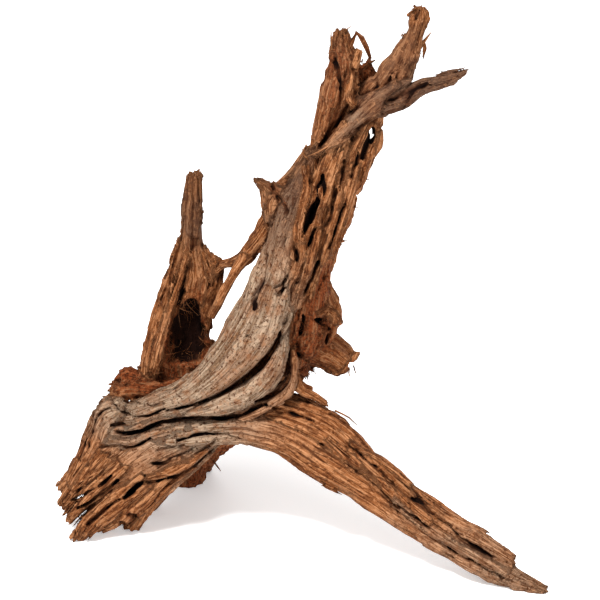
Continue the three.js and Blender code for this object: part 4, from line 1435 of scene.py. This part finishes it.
@dataclass
class DriftwoodBody:
    """The wood itself, as one skin.

    Where two sheets of the skin cross one grid cell they share its vertex, so some edges carry four faces.

    Attributes:
        step: the grid's spacing in millimetres.
        fine: grid points along a coarse cell.
        most_triangles: how many triangles the finished skin may have.
        low: the lowest corner of the grid, in millimetres.
        high: the highest corner of the grid, in millimetres.
        reaches: how far out along the normal the air is looked for, for the painted shade, in millimetres.
    """

    step: float = 0.8
    fine: int = 4
    most_triangles: int = 196000
    low: tuple[float, float, float] = (-182.0, -98.0, -6.0)
    high: tuple[float, float, float] = (172.0, 98.0, 374.0)
    reaches: tuple[float, ...] = (3.0, 7.0)

    def grid(self) -> Grid:
        """Lay a grid over the wood.

        Returns:
            The grid.
        """
        low, high = np.array(self.low), np.array(self.high)
        cells = np.ceil((high - low) / (self.step * self.fine)).astype(int)
        return Grid(low, self.step, tuple(int(n) for n in cells), self.fine)

    def build(self, wood: WoodField) -> bpy.types.Object:
        """Skin the field and thin the skin where it is smooth.

        Args:
            wood: the field.

        Returns:
            The piece, in the wood's own frame, in metres.
        """
        grid = self.grid()
        start = time.perf_counter()
        values = band_values(wood, grid)
        log.info("field %s in %.1f s", values.shape, time.perf_counter() - start)
        vertices, quads = largest_shell(*skin(values))
        piece = show(make_mesh("wood_skin", (grid.low + vertices * grid.step) * MM, quads), "driftwood_body")
        if 2 * len(quads) > self.most_triangles:
            thin = piece.modifiers.new("thin", "DECIMATE")
            thin.ratio = self.most_triangles / (2 * len(quads))
            made = bpy.data.meshes.new_from_object(piece.evaluated_get(bpy.context.evaluated_depsgraph_get()))
            piece.modifiers.clear()
            rough = piece.data
            piece.data = made
            bpy.data.meshes.remove(rough)
            piece.data.name = "driftwood_skin"
        points = read_vertices(piece.data)
        points[:, 2] = np.maximum(points[:, 2], 0.0)
        piece.data.vertices.foreach_set("co", points.ravel())
        log.info("skin %d faces in %.1f s", len(piece.data.polygons), time.perf_counter() - start)
        return piece

    def dress(self, piece: bpy.types.Object, wood: WoodField, finish: bpy.types.Material) -> None:
        """Write what the finish reads at each vertex, and give the piece its finish.

        Painted shade: how deep the vertex lies in a crack or hollow, turned into darkening of its colour.
        It rises with its depth below the plain strands, from a start that is sooner in pale wood, and with
        how much wood stands a little way out along the normal. It is a little less in rotten wood.

        Args:
            piece: the wood, still in its own frame.
            wood: the field.
            finish: the material.
        """
        mesh = piece.data
        points = read_vertices(mesh) / MM
        normals = read_vertices(mesh, "normal")
        here = wood.at(points)
        closed = np.zeros(len(points), np.float32)
        for reach in self.reaches:
            open_air = wood.at(points + normals * reach).gap / reach
            closed += (1 - np.clip(open_air, 0, 1)) / len(self.reaches)
        pale = here.tone[:, 0]
        # Painted shade: darkening deep in cracks and hollows, and where nearby wood closes the vertex in.
        start, span = 2.4 - 0.9 * pale, 3.6 - 1.2 * pale
        painted_shade = smoothstep(0.0, 1.0, (here.depth - start) / span) * 0.9
        painted_shade += smoothstep(0.35, 1.0, closed) * (0.6 - 0.3 * pale)
        painted_shade *= 1 - 0.15 * here.tone[:, 1]
        write_attribute(mesh, "grain", here.grain)
        write_attribute(mesh, "tone", here.tone)
        write_attribute(mesh, "painted_shade", np.clip(painted_shade, 0, 1))
        mesh.materials.append(finish)


@dataclass
class LooseFibres:
    """The splinters and hairs on the wood's torn places, as thin closed tubes.

    Attributes:
        seed: seed of the fibres' roots and bends.
        rings: points along each tube.
        sink: how far under the skin a fibre starts, in millimetres.
        spread: how much a fibre's heading varies.
        bend: how much a fibre bends.
    """

    seed: int = 5
    rings: int = 6
    sink: float = 0.8
    spread: float = 0.5
    bend: float = 0.6

    def grown(
        self, tuft: Tuft, points: Array, normals: Array, rng: np.random.Generator
    ) -> tuple[Array, Array]:
        """Grow one tuft from skin vertices picked near its centre.

        A fibre starts a little under the skin and runs along the normal plus the lean plus a random
        vector, and bends by a random amount that grows with the square of the share of its length.

        Args:
            tuft: the tuft.
            points: the skin's vertices in millimetres.
            normals: the skin's normals.
            rng: random numbers.

        Returns:
            Lines and radii of the fibres.
        """
        near = np.flatnonzero(np.linalg.norm(points - np.array(tuft.centre), axis=1) < tuft.radius)
        root = rng.choice(near, tuft.count)
        heading = normals[root] * 0.4 + np.array(tuft.lean) + rng.normal(0, self.spread, (tuft.count, 3))
        heading /= np.linalg.norm(heading, axis=1)[:, None]
        bend = rng.normal(0, self.bend, (tuft.count, 3))
        length = tuft.length * rng.uniform(0.3, 1.0, tuft.count)[:, None, None]
        share = np.linspace(0, 1, self.rings)[None, :, None]
        lines = (points[root] - normals[root] * self.sink)[:, None]
        lines = lines + length * (share * heading[:, None] + share**2 * bend[:, None])
        radii = tuft.width * rng.uniform(0.6, 1.2, (tuft.count, 1)) * (1.05 - share[:, :, 0])
        return lines, radii

    def build(self, skin_mesh: bpy.types.Mesh, finish: bpy.types.Material) -> bpy.types.Object:
        """Make all splinters and tufts in one mesh.

        Args:
            skin_mesh: the wood's skin, in its own frame.
            finish: the material.

        Returns:
            The piece, in the wood's own frame.
        """
        rng = np.random.default_rng(self.seed)
        points, normals = read_vertices(skin_mesh) / MM, read_vertices(skin_mesh, "normal")
        single = np.stack([smooth_curve(np.array(path, float), self.rings) for path in SPLINTERS])
        lines, radii, rot = [single[:, :, :3]], [single[:, :, 3]], [np.full(len(single), 0.1)]
        for tuft in TUFTS:
            line, radius = self.grown(tuft, points, normals, rng)
            lines.append(line)
            radii.append(radius)
            rot.append(np.full(tuft.count, tuft.rot * 0.7))
        lines, radii, rot = np.concatenate(lines), np.concatenate(radii), np.concatenate(rot)
        lines[:, :, 2] = np.maximum(lines[:, :, 2], radii)
        vertices, faces = tubes(lines, radii)
        piece = show(make_mesh("loose_fibres", vertices * MM, faces), "loose_fibres")
        along = np.linspace(0, 8, self.rings)[None, :, None]
        side = np.arange(4)[None, None, :] * 0.8 + np.arange(len(lines))[:, None, None] * 5.3
        grain = np.stack(np.broadcast_arrays(side, side * 0.7, along), axis=-1)
        tone = np.stack([np.full(len(rot), 0.15), rot, np.zeros(len(rot))], axis=1)
        write_attribute(piece.data, "grain", grain.reshape(-1, 3))
        write_attribute(piece.data, "tone", np.repeat(tone, self.rings * 4, axis=0))
        write_attribute(piece.data, "painted_shade", np.zeros(len(vertices)))
        piece.data.materials.append(finish)
        return piece


# ------------------------------------------------------------------ the studio


@dataclass(frozen=True)
class Lamp:
    """One square soft light.

    Attributes:
        name: what it is called.
        place: where it hangs, in metres.
        size: how long its sides are, in metres.
        watts: its power.
    """

    name: str
    place: tuple[float, float, float]
    size: float
    watts: float

    def hang(self, aim: Vector) -> None:
        """Hang the light and turn it to the wood.

        Args:
            aim: the point that it shines at, in metres.
        """
        lamp = bpy.data.lights.new(self.name, "AREA")
        lamp.size = self.size
        lamp.energy = self.watts
        hung = bpy.data.objects.new(self.name, lamp)
        hung.location = Vector(self.place)
        hung.rotation_euler = (aim - Vector(self.place)).to_track_quat("-Z", "Y").to_euler()
        bpy.context.scene.collection.objects.link(hung)


@dataclass(frozen=True)
class Studio:
    """The pale floor, the soft lights and the camera.

    Attributes:
        target: what the camera looks at in the wood's own frame, in metres.
        distance: how far the camera is from it, in metres.
        elevation: how far above level the camera is, in degrees.
        lens: the camera's focal length, in millimetres.
        sight: how far the camera sees, in metres.
        floor_half: half the floor's side, in metres.
        sky: how bright the sky is.
        lamps: the lights.
    """

    target: tuple[float, float, float] = (0.0, 0.0, 0.170)
    distance: float = 1.080
    elevation: float = 25.0
    lens: float = 100.0
    sight: float = 20.0
    floor_half: float = 12.0
    sky: float = 0.62
    lamps: tuple[Lamp, ...] = (
        Lamp("key", (-0.8, -1.3, 3.3), 0.6, 195.0),
        Lamp("fill", (1.2, -1.5, 0.9), 0.9, 14.0),
        Lamp("rim", (0.3, 0.9, 0.9), 0.8, 6.0),
    )

    def build(self, shift: Array) -> None:
        """Make the floor, the lights, the sky and the camera.

        Args:
            shift: from the wood's own frame to the finished frame, in metres.
        """
        centre = Vector(self.target) + Vector(shift)
        self.lay_floor()
        for lamp in self.lamps:
            lamp.hang(centre)
        self.light_sky()
        self.place_camera(centre)
        bpy.context.scene.view_settings.view_transform = "Standard"

    def lay_floor(self) -> None:
        """Lay the pale floor."""
        corners = np.array([(-1, -1, 0), (1, -1, 0), (1, 1, 0), (-1, 1, 0)]) * self.floor_half
        floor = show(make_mesh("floor", corners, np.array([(0, 1, 2, 3)])), "floor")
        tree = ShaderTree("pale_floor")
        sockets = {"Base Color": (0.9, 0.9, 0.9, 1), "Roughness": 0.8, "Emission Color": (1, 1, 1, 1),
                   "Emission Strength": 0.3}
        tree.surface(tree.node("ShaderNodeBsdfPrincipled", {}, sockets, "BSDF"))
        floor.data.materials.append(tree.material)

    def light_sky(self) -> None:
        """Put an even white sky round the scene."""
        sky = bpy.data.worlds.new("sky")
        sky.use_nodes = True
        inputs = sky.node_tree.nodes["Background"].inputs
        inputs["Color"].default_value = (1, 1, 1, 1)
        inputs["Strength"].default_value = self.sky
        bpy.context.scene.world = sky

    def place_camera(self, centre: Vector) -> None:
        """Place the camera.

        Args:
            centre: the point that it looks at, in metres.
        """
        lens = bpy.data.cameras.new("camera")
        lens.lens = self.lens
        lens.clip_end = self.sight
        camera = bpy.data.objects.new("camera", lens)
        slope = np.radians(self.elevation)
        back = Vector((0, -np.cos(slope), np.sin(slope)))
        camera.location = centre + back * self.distance
        camera.rotation_euler = (-back).to_track_quat("-Z", "Y").to_euler()
        bpy.context.scene.collection.objects.link(camera)
        bpy.context.scene.camera = camera


# ------------------------------------------------------------------ putting it together


def move_mesh(piece: bpy.types.Object, shift: Array) -> None:
    """Move a piece by moving its vertices, so that its object stays at the origin.

    Args:
        piece: the piece.
        shift: how far, in metres.
    """
    points = read_vertices(piece.data) + shift
    piece.data.vertices.foreach_set("co", points.astype(np.float32).ravel())
    piece.data.update()


def middle_shift(piece: bpy.types.Object) -> Array:
    """Find the move that puts the middle of a piece's box over the middle of the CAD node's box.

    Args:
        piece: the piece.

    Returns:
        The move along x and y in metres, with nothing along z.
    """
    points = read_vertices(piece.data)
    low, high = (np.array(corner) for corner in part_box(NODE))
    shift = (low + high) / 2 - (points.min(axis=0) + points.max(axis=0)) / 2
    shift[2] = 0.0
    return shift


def main() -> None:
    """Build the wood, dress it, and set up the studio."""
    logging.basicConfig(level=logging.INFO, format="%(name)s: %(message)s")
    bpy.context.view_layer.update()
    wood, finish = WoodField(), WeatheredWood().build()
    body = DriftwoodBody()
    skinned = body.build(wood)
    body.dress(skinned, wood, finish)
    fibres = LooseFibres().build(skinned.data, finish)
    shift = middle_shift(skinned)
    for piece in (skinned, fibres):
        move_mesh(piece, shift)
        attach(piece, BODY)
        log.info("%s: %d triangles", piece.name, sum(len(p.vertices) - 2 for p in piece.data.polygons))
    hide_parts(NODE)
    Studio().build(shift)


if __name__ == "__main__":
    main()
